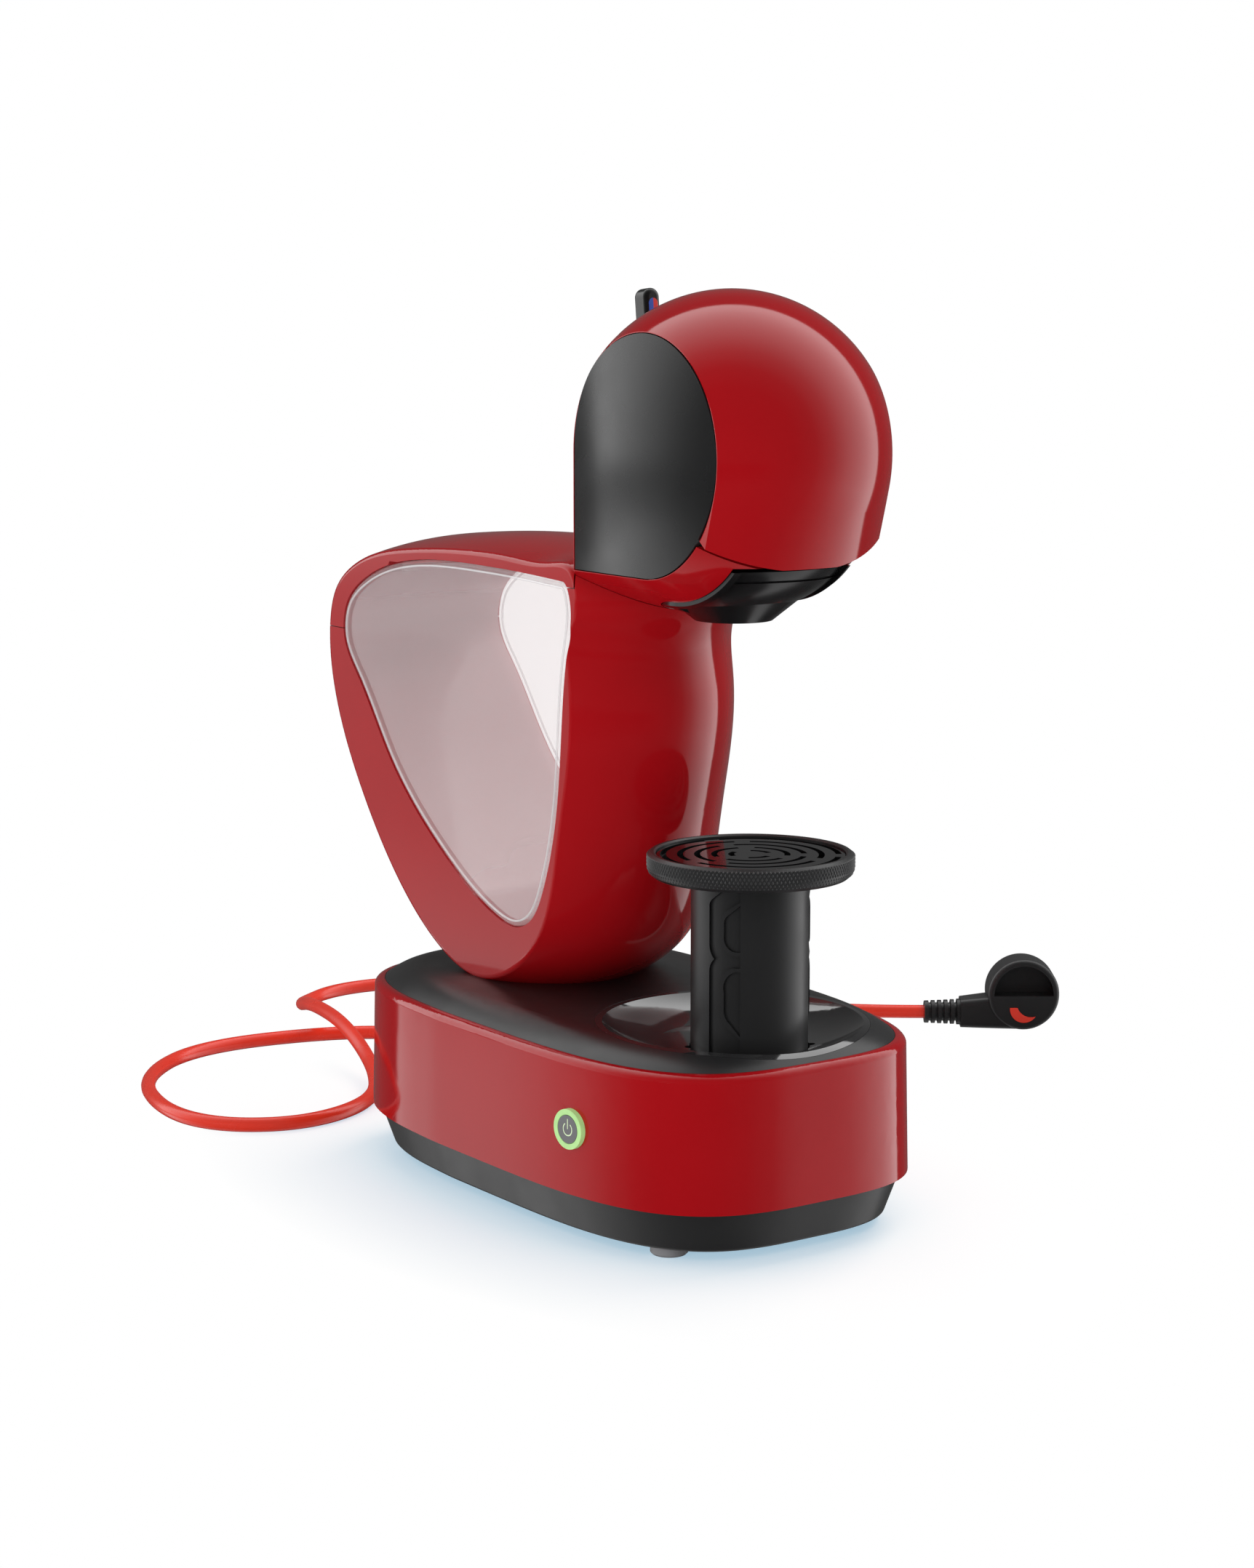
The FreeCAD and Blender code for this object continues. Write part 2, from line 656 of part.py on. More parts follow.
def head_solid(radius, half):
    """Ball head whose lower rear quarter runs straight down and straight back."""
    big = 3.0 * radius
    slab = box(-half, half, head_at.y - big, head_at.y + big, head_at.z - big, head_at.z + big)
    quarter = box(-half, half, head_at.y, head_at.y + big, head_at.z - big, head_at.z)
    ball = Part.makeSphere(radius, head_at, Vector(1, 0, 0)).common(slab).cut(quarter)
    lying = Part.makeCylinder(radius, big, head_at, Vector(0, 1, 0)).common(quarter)
    standing = Part.makeCylinder(radius, big, head_at - Vector(0, 0, big)).common(quarter)
    return ball.fuse(lying.common(standing)).removeSplitter()


hr = val("head_radius")
head_outer = head_solid(hr, val("panel_x"))
head_void = head_solid(hr - val("shell_wall"), val("panel_x") + 1.0)

ring = loop.cut(window_prism(0.0, bw + 5.0).cut(spine(hr)))
ring = ring.cut(box(-99, 99, -300, 300, 0, deck_top))
far = 400.0
lid_corners = [up(-60.0, val("lid_rise")), up(100.0, val("lid_rise")), up(124.0, val("seam_rise")),
               up(far, val("seam_rise")), up(far, far), up(-60.0, far), up(-60.0, val("lid_rise"))]
lid_zone = Part.Face(Part.makePolygon(lid_corners)).extrude(Vector(198, 0, 0))
lid_zone.translate(Vector(-99, 0, 0))
lid_low = lid_zone.copy()
lid_low.translate(Vector(0, 0, -val("tank_gap")))
lid = ring.common(lid_zone).cut(spine(hr + 0.6))
body = ring.cut(lid_low.cut(spine(hr))).cut(head_solid(hr + val("seat_gap"), 90.0))


def bean(centre, half_x, half_y):
    return Part.Wire([Part.Ellipse(centre, half_x, half_y).toShape()])


cavity = loft([bean(up(-24.5, 30.0), 24.0, 7.0), bean(up(-38.4, 75.0), 27.0, 8.2),
               bean(up(-44.8, 144.0), 28.0, 12.0), bean(up(-45.5, 183.0), 28.0, 12.5)], False)
body = body.cut(cavity)
lift = Vector(0, math.sin(math.radians(val("tank_tilt"))), math.cos(math.radians(val("tank_tilt"))))
spout_at = up(9.0, 28.5)
seat_base = spout_at - lift * 13.0
seat_radius = val("spout_radius") + 4.0
body = body.cut(Part.makeCylinder(seat_radius + 0.1, 60.0, seat_base, lift))
chamber_top = deck_top + 7.0
body = body.cut(box(-duct_x, duct_x, duct_y0, duct_y1, deck_top - 5.0, chamber_top))
seat_tail = seat_base - lift * 9.0
hose_drop = up(13.0, -8.0)
body = body.cut(Part.makeCylinder(4.0, 13.0, seat_base - lift * 12.0, lift))
body = body.cut(Part.makeCylinder(3.6, (hose_drop - seat_tail).Length, seat_tail, hose_drop - seat_tail))
duct_low = Vector(18.0, 12.0, chamber_top - 5.0)
duct_high = Vector(15.0, -28.0, deck_top + 38.0)
duct_run = duct_high - duct_low
body = body.cut(Part.makeCylinder(4.5, duct_run.Length, duct_low, duct_run))
feature("body_shell", max(body.Solids, key=lambda s: s.Volume))
feature("tank_lid", max(lid.Solids, key=lambda s: s.Volume))

tank_half = bw - 0.1
bevel = 0.9
gap = val("tank_gap")
tank = loft([window_wire(gap + bevel, -tank_half), window_wire(gap, bevel - tank_half),
             window_wire(gap, tank_half - bevel), window_wire(gap + bevel, tank_half)], True)
tank = tank.cut(spine(hr + 0.7))
tank_in = window_prism(gap + val("tank_wall"), tank_half - val("tank_wall"))
tank_in = tank_in.cut(spine(hr + 0.7 + val("tank_wall")))
tank = tank.cut(tank_in)
mouth_z = deck_top + val("lid_rise") - 9.0
tank = tank.cut(box(-32.0, 32.0, -18.0, 104.0, mouth_z, mouth_z + 36.0))
spout = Part.makeCylinder(val("spout_radius"), 12.0, spout_at - lift * 10.0, lift)
spout_bore = Part.makeCylinder(val("spout_radius") - 2.2, 40.0, spout_at - lift * 20.0, lift)
tank = tank.fuse(spout.cut(tank_in)).cut(spout_bore)
feature("water_tank", max(tank.Solids, key=lambda s: s.Volume))

turn_lift = Rotation(Vector(0, 0, 1), lift)
cup_outer = seat_radius
cup = revolved("tank_seat", [
    (2.2, 0.0), (cup_outer, 0.0), (cup_outer, 6.0), (val("spout_radius") + 0.5, 6.0),
    (val("spout_radius") + 0.5, 2.4), (2.2, 2.4)], Placement(seat_base, turn_lift))
node(cup, "tank_seat")
plunger = revolved("tank_valve", [
    (0.0, 0.0), (1.6, 0.0), (1.6, 3.0), (val("spout_radius") - 2.6, 3.0), (val("spout_radius") - 2.6, 7.0),
    (1.6, 9.0), (1.6, 14.0), (0.0, 14.0)], Placement(seat_base + lift * 3.4, turn_lift))
node(plunger, "tank_valve")

# Head: shell, hood, panels, core and brewing parts


def wedge(first, last, half):
    """Sector of space between two planes through the head's cross axis."""
    points = [head_at + Vector(-half, 0, 0)]
    steps = 6
    for i in range(steps + 1):
        a = math.radians(first + (last - first) * i / steps)
        points.append(head_at + Vector(-half, 300.0 * math.cos(a), 300.0 * math.sin(a)))
    points.append(points[0])
    return Part.Face(Part.makePolygon(points)).extrude(Vector(2.0 * half, 0, 0))


def panel_outline(x, radius):
    """Round panel outline with a square lower rear corner."""
    top = head_at + Vector(x, 0, radius)
    front = head_at + Vector(x, -radius, 0)
    low = head_at + Vector(x, 0, -radius)
    corner = head_at + Vector(x, radius, -radius)
    rear = head_at + Vector(x, radius, 0)
    crest = head_at + Vector(x, radius * math.cos(math.pi / 4), radius * math.sin(math.pi / 4))
    return Part.Wire([arc(rear, crest, top), arc(top, front, low), line(low, corner), line(corner, rear)])


panel_radius = math.sqrt(hr ** 2 - val("panel_x") ** 2) - val("panel_margin")
panel_in = val("panel_x") - val("panel_depth")
recess = Part.Face(panel_outline(panel_in, panel_radius + val("panel_gap"))).extrude(Vector(20, 0, 0))
mirror_recess = recess.mirror(Vector(0, 0, 0), Vector(1, 0, 0))
shell = head_outer.cut(head_void).cut(recess).cut(mirror_recess)

hinge_radius = hr - val("hinge_inset")
ha = math.radians(val("hinge_angle"))
hinge_at = head_at + Vector(0, hinge_radius * math.cos(ha), hinge_radius * math.sin(ha))
radial = Vector(0, math.cos(ha), math.sin(ha))
rearward = Vector(0, math.sin(ha), -math.cos(ha))


def across(x0, x1, radius):
    return Part.makeCylinder(radius, x1 - x0, hinge_at + Vector(x0, 0, 0), Vector(1, 0, 0))


def lug(x0, x1, away):
    """Block that ties a hinge knuckle to a shell edge."""
    a = hinge_at + Vector(x0, 0, 0)
    pts = [a - radial * 1.2, a + radial * 2.3, a + radial * 2.3 + rearward * away]
    pts.append(a - radial * 0.4 + rearward * away)
    pts.append(pts[0])
    return Part.Face(Part.makePolygon(pts)).extrude(Vector(x1 - x0, 0, 0))


hood = shell.common(wedge(val("hood_rear_angle"), val("hood_front_angle"), 99.0))
fa = math.radians(val("hood_front_angle"))
along = Vector(0, math.cos(fa), math.sin(fa))
upward = Vector(0, math.sin(fa), -math.cos(fa))


def lip_point(rho, rise):
    return head_at + along * rho + upward * rise


leave = math.acos(hr / (hr + val("lip_reach")))
inner = hr - 1.5
lip_root = lip_point(inner, 0.0)
lip_tip = lip_point(hr + val("lip_reach"), 0.0)
lip_crest = lip_point(hr * math.cos(leave), hr * math.sin(leave))
lip_back = lip_point(inner * math.cos(leave), inner * math.sin(leave))
lip_mid = lip_point(inner * math.cos(0.5 * leave), inner * math.sin(0.5 * leave))
lip_edges = [line(lip_root, lip_tip), line(lip_tip, lip_crest), line(lip_crest, lip_back)]
lip_edges.append(arc(lip_back, lip_mid, lip_root))
finger_lip = Part.Face(Part.Wire(lip_edges))
finger_lip.rotate(head_at, upward, -val("lip_spread"))
finger_lip = finger_lip.revolve(head_at, upward, 2.0 * val("lip_spread"))
finger_lip = finger_lip.common(box(-val("panel_x"), val("panel_x"), -400.0, 400.0, 0.0, 999.0))
finger_lip = finger_lip.cut(recess).cut(mirror_recess)
holder_top = head_at.z - val("holder_top_drop")
hood = hood.fuse(finger_lip).cut(box(-99.0, 99.0, -400.0, head_at.y, 0.0, holder_top + val("hood_clear")))
hood = hood.cut(across(-6.0, 6.0, val("knuckle_radius") + 0.4))
for x0 in (-14.0, 6.0):
    hood = hood.fuse(across(x0, x0 + 8.0, val("knuckle_radius"))).fuse(lug(x0, x0 + 8.0, -4.6))
hood = hood.cut(across(-20.0, 20.0, val("hinge_pin_radius") + val("fit_gap")))
feature("hood", hood.removeSplitter())

dome = shell.common(wedge(val("chin_edge_angle"), val("dome_edge_angle") + 360.0, 99.0))
for x0 in (-14.4, 5.6):
    dome = dome.cut(across(x0, x0 + 8.8, val("knuckle_radius") + 0.4))
dome = dome.fuse(across(-5.6, 5.6, val("knuckle_radius"))).fuse(lug(-5.6, 5.6, 5.2))
dome = dome.cut(across(-20.0, 20.0, val("hinge_pin_radius")))
pod_y = val("head_y") - val("pod_setback")


def tongue(half, front, z0, z1):
    """Plan outline of the pod drawer: straight sides and a round rear end."""
    a = Vector(-half, front, z0)
    b = Vector(-half, pod_y, z0)
    c = Vector(half, pod_y, z0)
    d = Vector(half, front, z0)
    rear = Vector(0, pod_y + half, z0)
    wire = Part.Wire([line(a, b), arc(b, rear, c), line(c, d), line(d, a)])
    return Part.Face(wire).extrude(Vector(0, 0, z1 - z0))


bay_top = holder_top + 1.6
mouth = tongue(val("mouth_half_width"), -400.0, 0.0, bay_top)
dome = dome.cut(mouth)
lever_at = head_at + Vector(0, hr - 11.9, 9.5)
lean = Rotation(Vector(1, 0, 0), -val("lever_lean"))


def lever_fan(low, high, clear):
    """Space the lever sweeps, seen along its pivot."""
    spread = math.tan(math.radians(val("lever_swing")))
    half = 0.5 * val("lever_width") + clear
    deep = 0.5 * val("lever_depth") + clear
    pts = [Vector(-low * spread - half, -deep, low), Vector(low * spread + half, -deep, low),
           Vector(high * spread + half, -deep, high), Vector(-high * spread - half, -deep, high)]
    pts.append(pts[0])
    fan = Part.Face(Part.makePolygon(pts)).extrude(Vector(0, 2.0 * deep, 0))
    fan.Placement = Placement(lever_at, lean)
    return fan


dome = dome.cut(lever_fan(2.0, 70.0, 0.6))
heater_at = up(-43.0, 96.0)
head_low = head_at.z - hr
heater_length = head_low - 8.2 - heater_at.z
valve_foot = lever_at + lean.multVec(Vector(0, -15.0, -9.0))
hose_hole = Part.makeCylinder(6.0, hr - 3.3, Vector(0, heater_at.y - 3.0, head_low - 9.2))
dome = dome.cut(hose_hole)
feature("head_shell", max(dome.Solids, key=lambda s: s.Volume))

sideways = Rotation(Vector(0, 0, 1), Vector(1, 0, 0))
pin = cylinder("hinge_pin", expr("hinge_pin_radius"), "28", Placement(hinge_at + Vector(-14, 0, 0), sideways))
node(pin, "hinge_pin")

panel_span = panel_radius + 1.0


def swell_wire(share):
    """Section across the panel's outer swell; flat at the upper and lower rim."""
    rim_x = val("panel_x") - 0.15
    z = panel_span * share
    rise = val("panel_bulge") * (1.0 - share ** 2) + 0.05
    a = head_at + Vector(rim_x, -panel_span, z)
    b = head_at + Vector(rim_x + rise, 0, z)
    c = head_at + Vector(rim_x, panel_span, z)
    d = head_at + Vector(panel_in - 1.0, panel_span, z)
    e = head_at + Vector(panel_in - 1.0, -panel_span, z)
    return Part.Wire([arc(a, b, c), line(c, d), line(d, e), line(e, a)])


bulge = loft([swell_wire(-1.0), swell_wire(-0.5), swell_wire(0.0), swell_wire(0.5), swell_wire(1.0)], False)
plate = Part.Face(panel_outline(panel_in, panel_radius)).extrude(Vector(10, 0, 0)).common(bulge)
feature("side_panel_right", plate)
feature("side_panel_left", plate.mirror(Vector(0, 0, 0), Vector(1, 0, 0)))

core = head_solid(hr - val("shell_wall") - val("core_gap"), panel_in)
core = core.cut(tongue(val("mouth_half_width") + 0.4, -400.0, 0.0, bay_top))
injector_radius = val("pod_bore") + 1.5
injector_z = holder_top + 1.2
travel_room = 20.0
core = core.cut(Part.makeCylinder(injector_radius + 0.6, travel_room, Vector(0, pod_y, bay_top - 1.0)))
core = core.cut(Part.makeCylinder(6.6, 80.0, Vector(0, pod_y, bay_top)))
core = core.cut(lever_fan(-9.0, 70.0, 1.2))
hub_room = Part.makeCylinder(8.0, 16.0, Vector(0, -8.0, 0), Vector(0, 1, 0))
hub_room.Placement = Placement(lever_at, lean).multiply(hub_room.Placement)
valve_room = box(-9.2, 9.2, -26.0, -5.5, -9.2, 9.2)
valve_room.Placement = Placement(lever_at, lean)
core = core.cut(hub_room).cut(valve_room).cut(hose_hole)
hose_front = min(valve_foot.y, heater_at.y) - 5.5
hose_rear = max(valve_foot.y, heater_at.y) + 3.0
core = core.cut(box(-5.0, 5.0, hose_front, hose_rear, head_low - 4.2, head_at.z + 4.5))
feature("head_core", max(core.Solids, key=lambda s: s.Volume))

holder_half = val("mouth_half_width") - val("holder_gap")
holder = Part.makeSphere(hr + val("holder_proud"), head_at).fuse(head_solid(hr - 0.2, 60.0))
holder = holder.common(tongue(holder_half, -400.0, 0.0, holder_top))
rim_half = holder_half - val("scoop_rim")
grip_z = holder_top - val("grip_height")
for low, high, depth in ((0.0, holder_top, val("scoop_depth")), (grip_z, holder_top, val("grip_depth"))):
    hollow_front = box(-rim_half, rim_half, -400.0, head_at.y, low, high)
    holder = holder.cut(hollow_front.cut(Part.makeSphere(hr + val("holder_proud") - depth, head_at)))
scoop_radius = hr + val("holder_proud") - val("scoop_depth")
nozzle_low = Vector(0, pod_y, head_at.z - hr - val("nozzle_drop"))
flare_reach = val("nozzle_flare") + val("pod_setback")
flare_top = head_at.z - math.sqrt(scoop_radius ** 2 - flare_reach ** 2) + 0.3
flare = Part.makeCone(val("nozzle_radius"), val("nozzle_flare"), flare_top - nozzle_low.z, nozzle_low)
holder = holder.fuse(flare)
cup_low = Vector(0, pod_y, holder_top - 15.0)
holder = holder.cut(Part.makeCone(val("pod_bore") - 2.0, val("pod_bore"), 15.0, cup_low))
holder = holder.cut(Part.makeCylinder(val("pod_flange"), 5.0, Vector(0, pod_y, holder_top - 1.6)))
holder = holder.cut(Part.makeCylinder(4.0, 60.0, Vector(0, pod_y, nozzle_low.z - 20.0)))
feature("pod_holder", holder.removeSplitter())

injector = revolved("injector_plate", [
    (1.6, 0.0), (20.6, 0.0), (20.6, 2.4), (23.0, 2.4), (23.0, 1.0), (injector_radius, 1.0),
    (injector_radius, 7.0), (6.0, 7.0), (6.0, 22.0), (1.6, 22.0)], at(0, pod_y, injector_z))
node(injector, "injector_plate")
gasket = doc.addObject("Part::Torus", "injector_seal")
gasket.Radius1 = 21.8
gasket.Radius2 = 1.1
gasket.Placement = at(0, pod_y, injector_z + 1.25)
node(gasket, "injector_seal")
needle_points = [(0.0, -0.4), (1.55, 2.4), (1.55, 18.0), (0.0, 18.0)]
needle = revolved("injector_needle", needle_points, at(0, pod_y, injector_z))
node(needle, "injector_needle")

lw = val("lever_width")
ld = val("lever_depth")
stick = box(-0.5 * lw, 0.5 * lw, -0.5 * ld, 0.5 * ld, 0.0, val("lever_length") - 0.5 * lw)
crown = Part.makeCylinder(0.5 * lw, ld, Vector(0, -0.5 * ld, val("lever_length") - 0.5 * lw), Vector(0, 1, 0))
stick = stick.fuse(crown).removeSplitter()
face_edges = [e for e in stick.Edges if e.BoundBox.YLength < 0.01 and e.BoundBox.ZMax > 1.0]
stick = stick.makeFillet(1.9, face_edges)
hub = Part.makeCylinder(6.0, 9.0, Vector(0, -4.5, 0), Vector(0, 1, 0))
spindle_radius = 2.4
spindle_bore = Part.makeCylinder(spindle_radius + 0.05, 40.0, Vector(0, -20, 0), Vector(0, 1, 0))
stick = stick.fuse(hub).cut(spindle_bore)
lever_place = Placement(lever_at, lean)
feature("selector_lever", stick, lever_place)
mark_z = val("lever_length") - 11.0
disc = Part.makeCylinder(2.2, 0.4, Vector(0, -0.5 * ld - 0.4, mark_z), Vector(0, 1, 0))
for label, x0, x1 in (("lever_mark_cold", -9.0, 0.0), ("lever_mark_hot", 0.0, 9.0)):
    feature(label, disc.common(box(x0, x1, -20.0, 20.0, 0.0, 99.0)), lever_place)
valve = box(-9.0, 9.0, -24.5, -5.8, -9.0, 9.0)
valve = valve.makeFillet(1.5, valve.Edges)
valve = valve.fuse(Part.makeCylinder(spindle_radius, 14.0, Vector(0, -8.5, 0), Vector(0, 1, 0)))
feature("selector_valve", valve, lever_place)

# Button, electrics, pump, heater and hoses

button_turn = Rotation(Vector(0, 0, 1), button_out)
ring_place = Placement(button_at - button_out * 0.6, button_turn)
bore_place = Placement(button_at - button_out * 5.0, button_turn)
ring_tube = cylinder("button_ring_blank", expr("ring_radius"), "2.6", ring_place)
ring_bore = cylinder("button_ring_bore", expr("button_radius") + " + 0.25", "12", bore_place)
node(cut("button_ring", ring_tube, ring_bore), "button_ring")
cap = Part.makeCylinder(val("button_radius"), 4.0, Vector(0, 0, -2.0))
cap = cap.fuse(Part.makeCylinder(1.8, 9.0, Vector(0, 0, -10.5)))
groove = Part.makeCylinder(2.8, 1.0, Vector(0, 0, 1.6)).cut(Part.makeCylinder(2.2, 1.0, Vector(0, 0, 1.6)))
groove = groove.cut(box(-1.3, 1.3, 0.0, 5.0, 1.0, 3.0)).fuse(box(-0.3, 0.3, 0.0, 4.2, 1.6, 2.6))
upright = Rotation(Vector(0, 0, 1).cross(button_out), Vector(0, 0, 1), button_out, "ZYX")
button_place = Placement(button_at, upright)
feature("power_button", cap.cut(groove), button_place)
board = box(-24.0, 30.0, floor_z - button_z, 14.0, -18.6, -17.0)
feature("control_board", board, button_place)
switch = box(-3.2, 3.2, -3.2, 3.2, -17.0, -13.0).fuse(Part.makeCylinder(1.6, 1.2, Vector(0, 0, -13.0)))
feature("button_switch", switch, button_place)

pump_at = Vector(26.0, 2.0, 36.0)
pump_turn = Rotation(Vector(0, 0, 1), Vector(0, 1, 0))
pump = revolved("pump", [
    (0.0, -44.0), (4.0, -44.0), (4.0, -34.0), (13.0, -34.0), (13.0, -20.0), (18.0, -20.0), (18.0, 16.0),
    (13.0, 16.0), (13.0, 30.0), (6.0, 34.0), (4.0, 34.0), (4.0, 44.0), (0.0, 44.0)],
    Placement(pump_at, pump_turn))
node(pump, "pump")
mounts = []
for shift in (-27.0, 23.0):
    pad = Part.makeCylinder(17.0, 6.0, pump_at + Vector(0, shift - 3.0, 0), Vector(0, 1, 0))
    foot_y = pump_at.y + shift
    pad = pad.fuse(box(pump_at.x - 13.0, pump_at.x + 13.0, foot_y - 3.0, foot_y + 3.0, floor_z, pump_at.z))
    bore_hole = Part.makeCylinder(13.0, 12.0, pump_at + Vector(0, shift - 6.0, 0), Vector(0, 1, 0))
    mounts.append(pad.cut(bore_hole))
feature("pump_mounts", Part.makeCompound(mounts))

heater = doc.addObject("PartDesign::Body", "heater")
heater_sketch = sketch_on(heater, "XY_Plane", "heater_outline")
hx = 14.0
hy = 6.0
right_end = Part.Circle(Vector(hx, 0, 0), Vector(0, 0, 1), hy)
left_end = Part.Circle(Vector(-hx, 0, 0), Vector(0, 0, 1), hy)
heater_sketch.addGeometry(Part.LineSegment(Vector(-hx, -hy, 0), Vector(hx, -hy, 0)), False)
heater_sketch.addGeometry(Part.ArcOfCircle(right_end, -math.pi / 2, math.pi / 2), False)
heater_sketch.addGeometry(Part.LineSegment(Vector(hx, hy, 0), Vector(-hx, hy, 0)), False)
heater_sketch.addGeometry(Part.ArcOfCircle(left_end, math.pi / 2, 1.5 * math.pi), False)
heater_pad = heater.newObject("PartDesign::Pad", "heater_pad")
heater_pad.Profile = heater_sketch
heater_pad.Length = heater_length
heater.Placement = at(heater_at.x, heater_at.y, heater_at.z)
node(heater, "heater")

hose_radius = 2.2
pump_rear = pump_at + Vector(0, 44.0, 0)
pump_front = pump_at + Vector(0, -44.0, 0)
inlet = [seat_base, seat_tail, hose_drop, Vector(4.0, 34.0, 58.0), Vector(10.0, 56.0, 51.0),
         Vector(18.0, 72.0, 44.0), Vector(26.0, 72.0, 37.0), pump_rear + Vector(0, 14.0, 0), pump_rear]
feature("inlet_hose", route(inlet, hose_radius)[0])
heater_foot = heater_at + Vector(8.0, 0, 0)
outlet = [pump_front, Vector(26.0, -56.0, 36.0), up(-64.0, -33.0) + Vector(25.0, 0, 0),
          up(-46.0, -21.0) + Vector(23.0, 0, 0), up(-12.0, -17.0) + Vector(20.0, 0, 0),
          up(11.0, -10.0) + Vector(18.0, 0, 0), up(12.0, 4.0) + Vector(18.0, 0, 0),
          up(-8.0, 20.0) + Vector(16.5, 0, 0), up(-28.0, 39.0) + Vector(15.0, 0, 0),
          up(-38.5, 62.0) + Vector(10.0, 0, 0), heater_foot - Vector(0, 0, 16.0), heater_foot]
feature("outlet_hose", route(outlet, hose_radius)[0])
heater_top = heater_at + Vector(0, 0, heater_length)
valve_tail = valve_foot - lean.multVec(Vector(0, 0, 11.0))
bend = Vector(0, heater_at.y - 7.0, head_at.z - 31.5)
climb = [heater_top, heater_top + Vector(0, 0, 14.0), bend, valve_tail, valve_foot]
feature("head_hose", route(climb, hose_radius)[0])

# Mains cord, gland and plug

gland_tip = val("gland_length") - 8.0
backward = Rotation(Vector(0, 0, 1), gland_out)
gland = revolved("cord_gland", [
    (0.0, -8.0), (8.4, -8.0), (8.4, -4.4), (6.0, -4.4), (6.0, 1.4), (8.0, 1.4), (8.0, 3.4),
    (6.2, 3.4), (val("cord_radius") + 1.1, gland_tip), (0.0, gland_tip)],
    Placement(gland_at - gland_out, backward))
node(gland, "cord_gland")
lie = val("cord_radius") + 0.1
hump = 5.0 * val("cord_radius")
gland_end = gland_at + gland_out * (gland_tip - 1.0)


def lay(dx, dy, z):
    """Point of the cord's way, measured from where it leaves the machine."""
    return Vector(gland_at.x + dx, gland_at.y + dy, z)


plug_start = lay(240.0, 16.4, 7.4)
cord_points = [
    gland_end, gland_end + gland_out * 20.0, gland_end + gland_out * 46.0 + Vector(0, 0, -9.0),
    gland_end + gland_out * 78.0 + Vector(-6.0, 0, -28.0), lay(22.0, 131.4, lie), lay(-14.0, 163.4, lie),
    lay(-88.0, 174.4, lie), lay(-138.0, 133.4, lie), lay(-155.8, 74.1, lie), lay(-146.0, 37.4, lie),
    lay(-112.3, 19.9, lie), lay(-70.0, 35.4, lie), lay(-44.0, 75.4, lie + 2.0), lay(-31.0, 125.4, hump),
    lay(-21.0, 177.4, hump), lay(-2.0, 225.4, lie), lay(33.6, 247.4, lie), lay(81.0, 237.4, lie),
    lay(130.0, 186.4, lie), lay(178.0, 109.4, lie), lay(207.0, 39.6, plug_start.z), plug_start]
cord, bends, cord_length = route(cord_points, val("cord_radius"))
feature("power_cord", cord)
print("cord length %.0f, radii %s" % (cord_length, " ".join("%.0f" % b for b in bends)))
section = math.pi * val("cord_radius") ** 2
print("cord volume %.4f of section times length" % (cord.Volume / (section * cord_length)))

heading = Vector(33.0, -23.2, 0)
heading.normalize()
away = Vector(-heading.y, heading.x, 0)
plug_frame = Placement(plug_start, Rotation(heading, away, Vector(0, 0, 1), "XZY"))
relief_points = [(0.0, 0.0), (5.4, 0.0)]
pitch = 3.2
for i in range(5):
    relief_points += [(5.6 + 0.15 * i, pitch * i + 0.3), (5.6 + 0.15 * i, pitch * i + 2.1)]
    relief_points += [(4.6, pitch * i + 2.1), (4.6, pitch * i + 3.2)]
relief_points += [(6.5, 5 * pitch + 0.3), (6.5, 18.0), (0.0, 18.0)]
relief = revolved("plug_relief", relief_points, Placement(plug_start, Rotation(Vector(0, 0, 1), heading)))
node(relief, "plug_relief")
drum_x = 49.0
drum_z = val("plug_radius") - plug_start.z
half = 0.5 * val("plug_depth")
drum_at = Vector(drum_x, -half, drum_z)
drum = Part.makeCylinder(val("plug_radius"), val("plug_depth"), drum_at, Vector(0, 1, 0))
drum_edges = [e for e in drum.Edges if e.BoundBox.YLength < 0.01]
drum = drum.makeFillet(2.4, drum_edges)


def rounded(x, half_y, z0, z1):
    """Rounded rectangle across the plug's neck."""
    plane = [Vector(x, -half_y, z0), Vector(x, half_y, z0), Vector(x, half_y, z1), Vector(x, -half_y, z1)]
    soft = 3.0
    edges = []
    for i in range(4):
        here = plane[i]
        before = plane[i - 1] - here
        after = plane[(i + 1) % 4] - here
        before.normalize()
        after.normalize()
        mid = here + (before + after) * (soft * (1.0 - math.sqrt(0.5)))
        edges.append(arc(here + before * soft, mid, here + after * soft))
        next_start = plane[(i + 1) % 4] - after * soft
        edges.append(line(here + after * soft, next_start))
    return Part.Wire(edges)


neck = loft([rounded(18.0, 7.2, -7.0, 7.0), rounded(30.0, 8.2, -7.2, 8.4),
             rounded(46.0, 9.6, -7.3, 10.0)], False)
plug = drum.fuse(neck)
thumb_at = drum_at - Vector(0, 11.0, 0)
thumb = Part.makeCylinder(val("plug_radius") - 3.0, 20.0, thumb_at, Vector(0, 1, 0))
thumb = thumb.common(box(0.0, 99.0, -99.0, 99.0, drum_z - 0.4, 99.0))
feature("plug_body", plug.cut(thumb).removeSplitter(), plug_frame)
accent = Part.makeCylinder(7.0, 0.5, Vector(49.0, -half - 0.5, 3.6), Vector(0, 1, 0))
accent = accent.cut(Part.makeCylinder(7.2, 2.0, Vector(52.6, -half - 1.0, 6.6), Vector(0, 1, 0)))
accent = accent.common(box(0.0, 99.0, -99.0, 99.0, -4.0, 4.2))
feature("plug_accent", accent, plug_frame)
pins = []
for shift in (-9.5, 9.5):
    prong = Part.makeCylinder(2.4, 19.0, Vector(drum_x + shift, half, drum_z), Vector(0, 1, 0))
    prong = prong.makeFillet(1.2, [e for e in prong.Edges if e.BoundBox.YMin > half + 18.0])
    pins.append(prong)
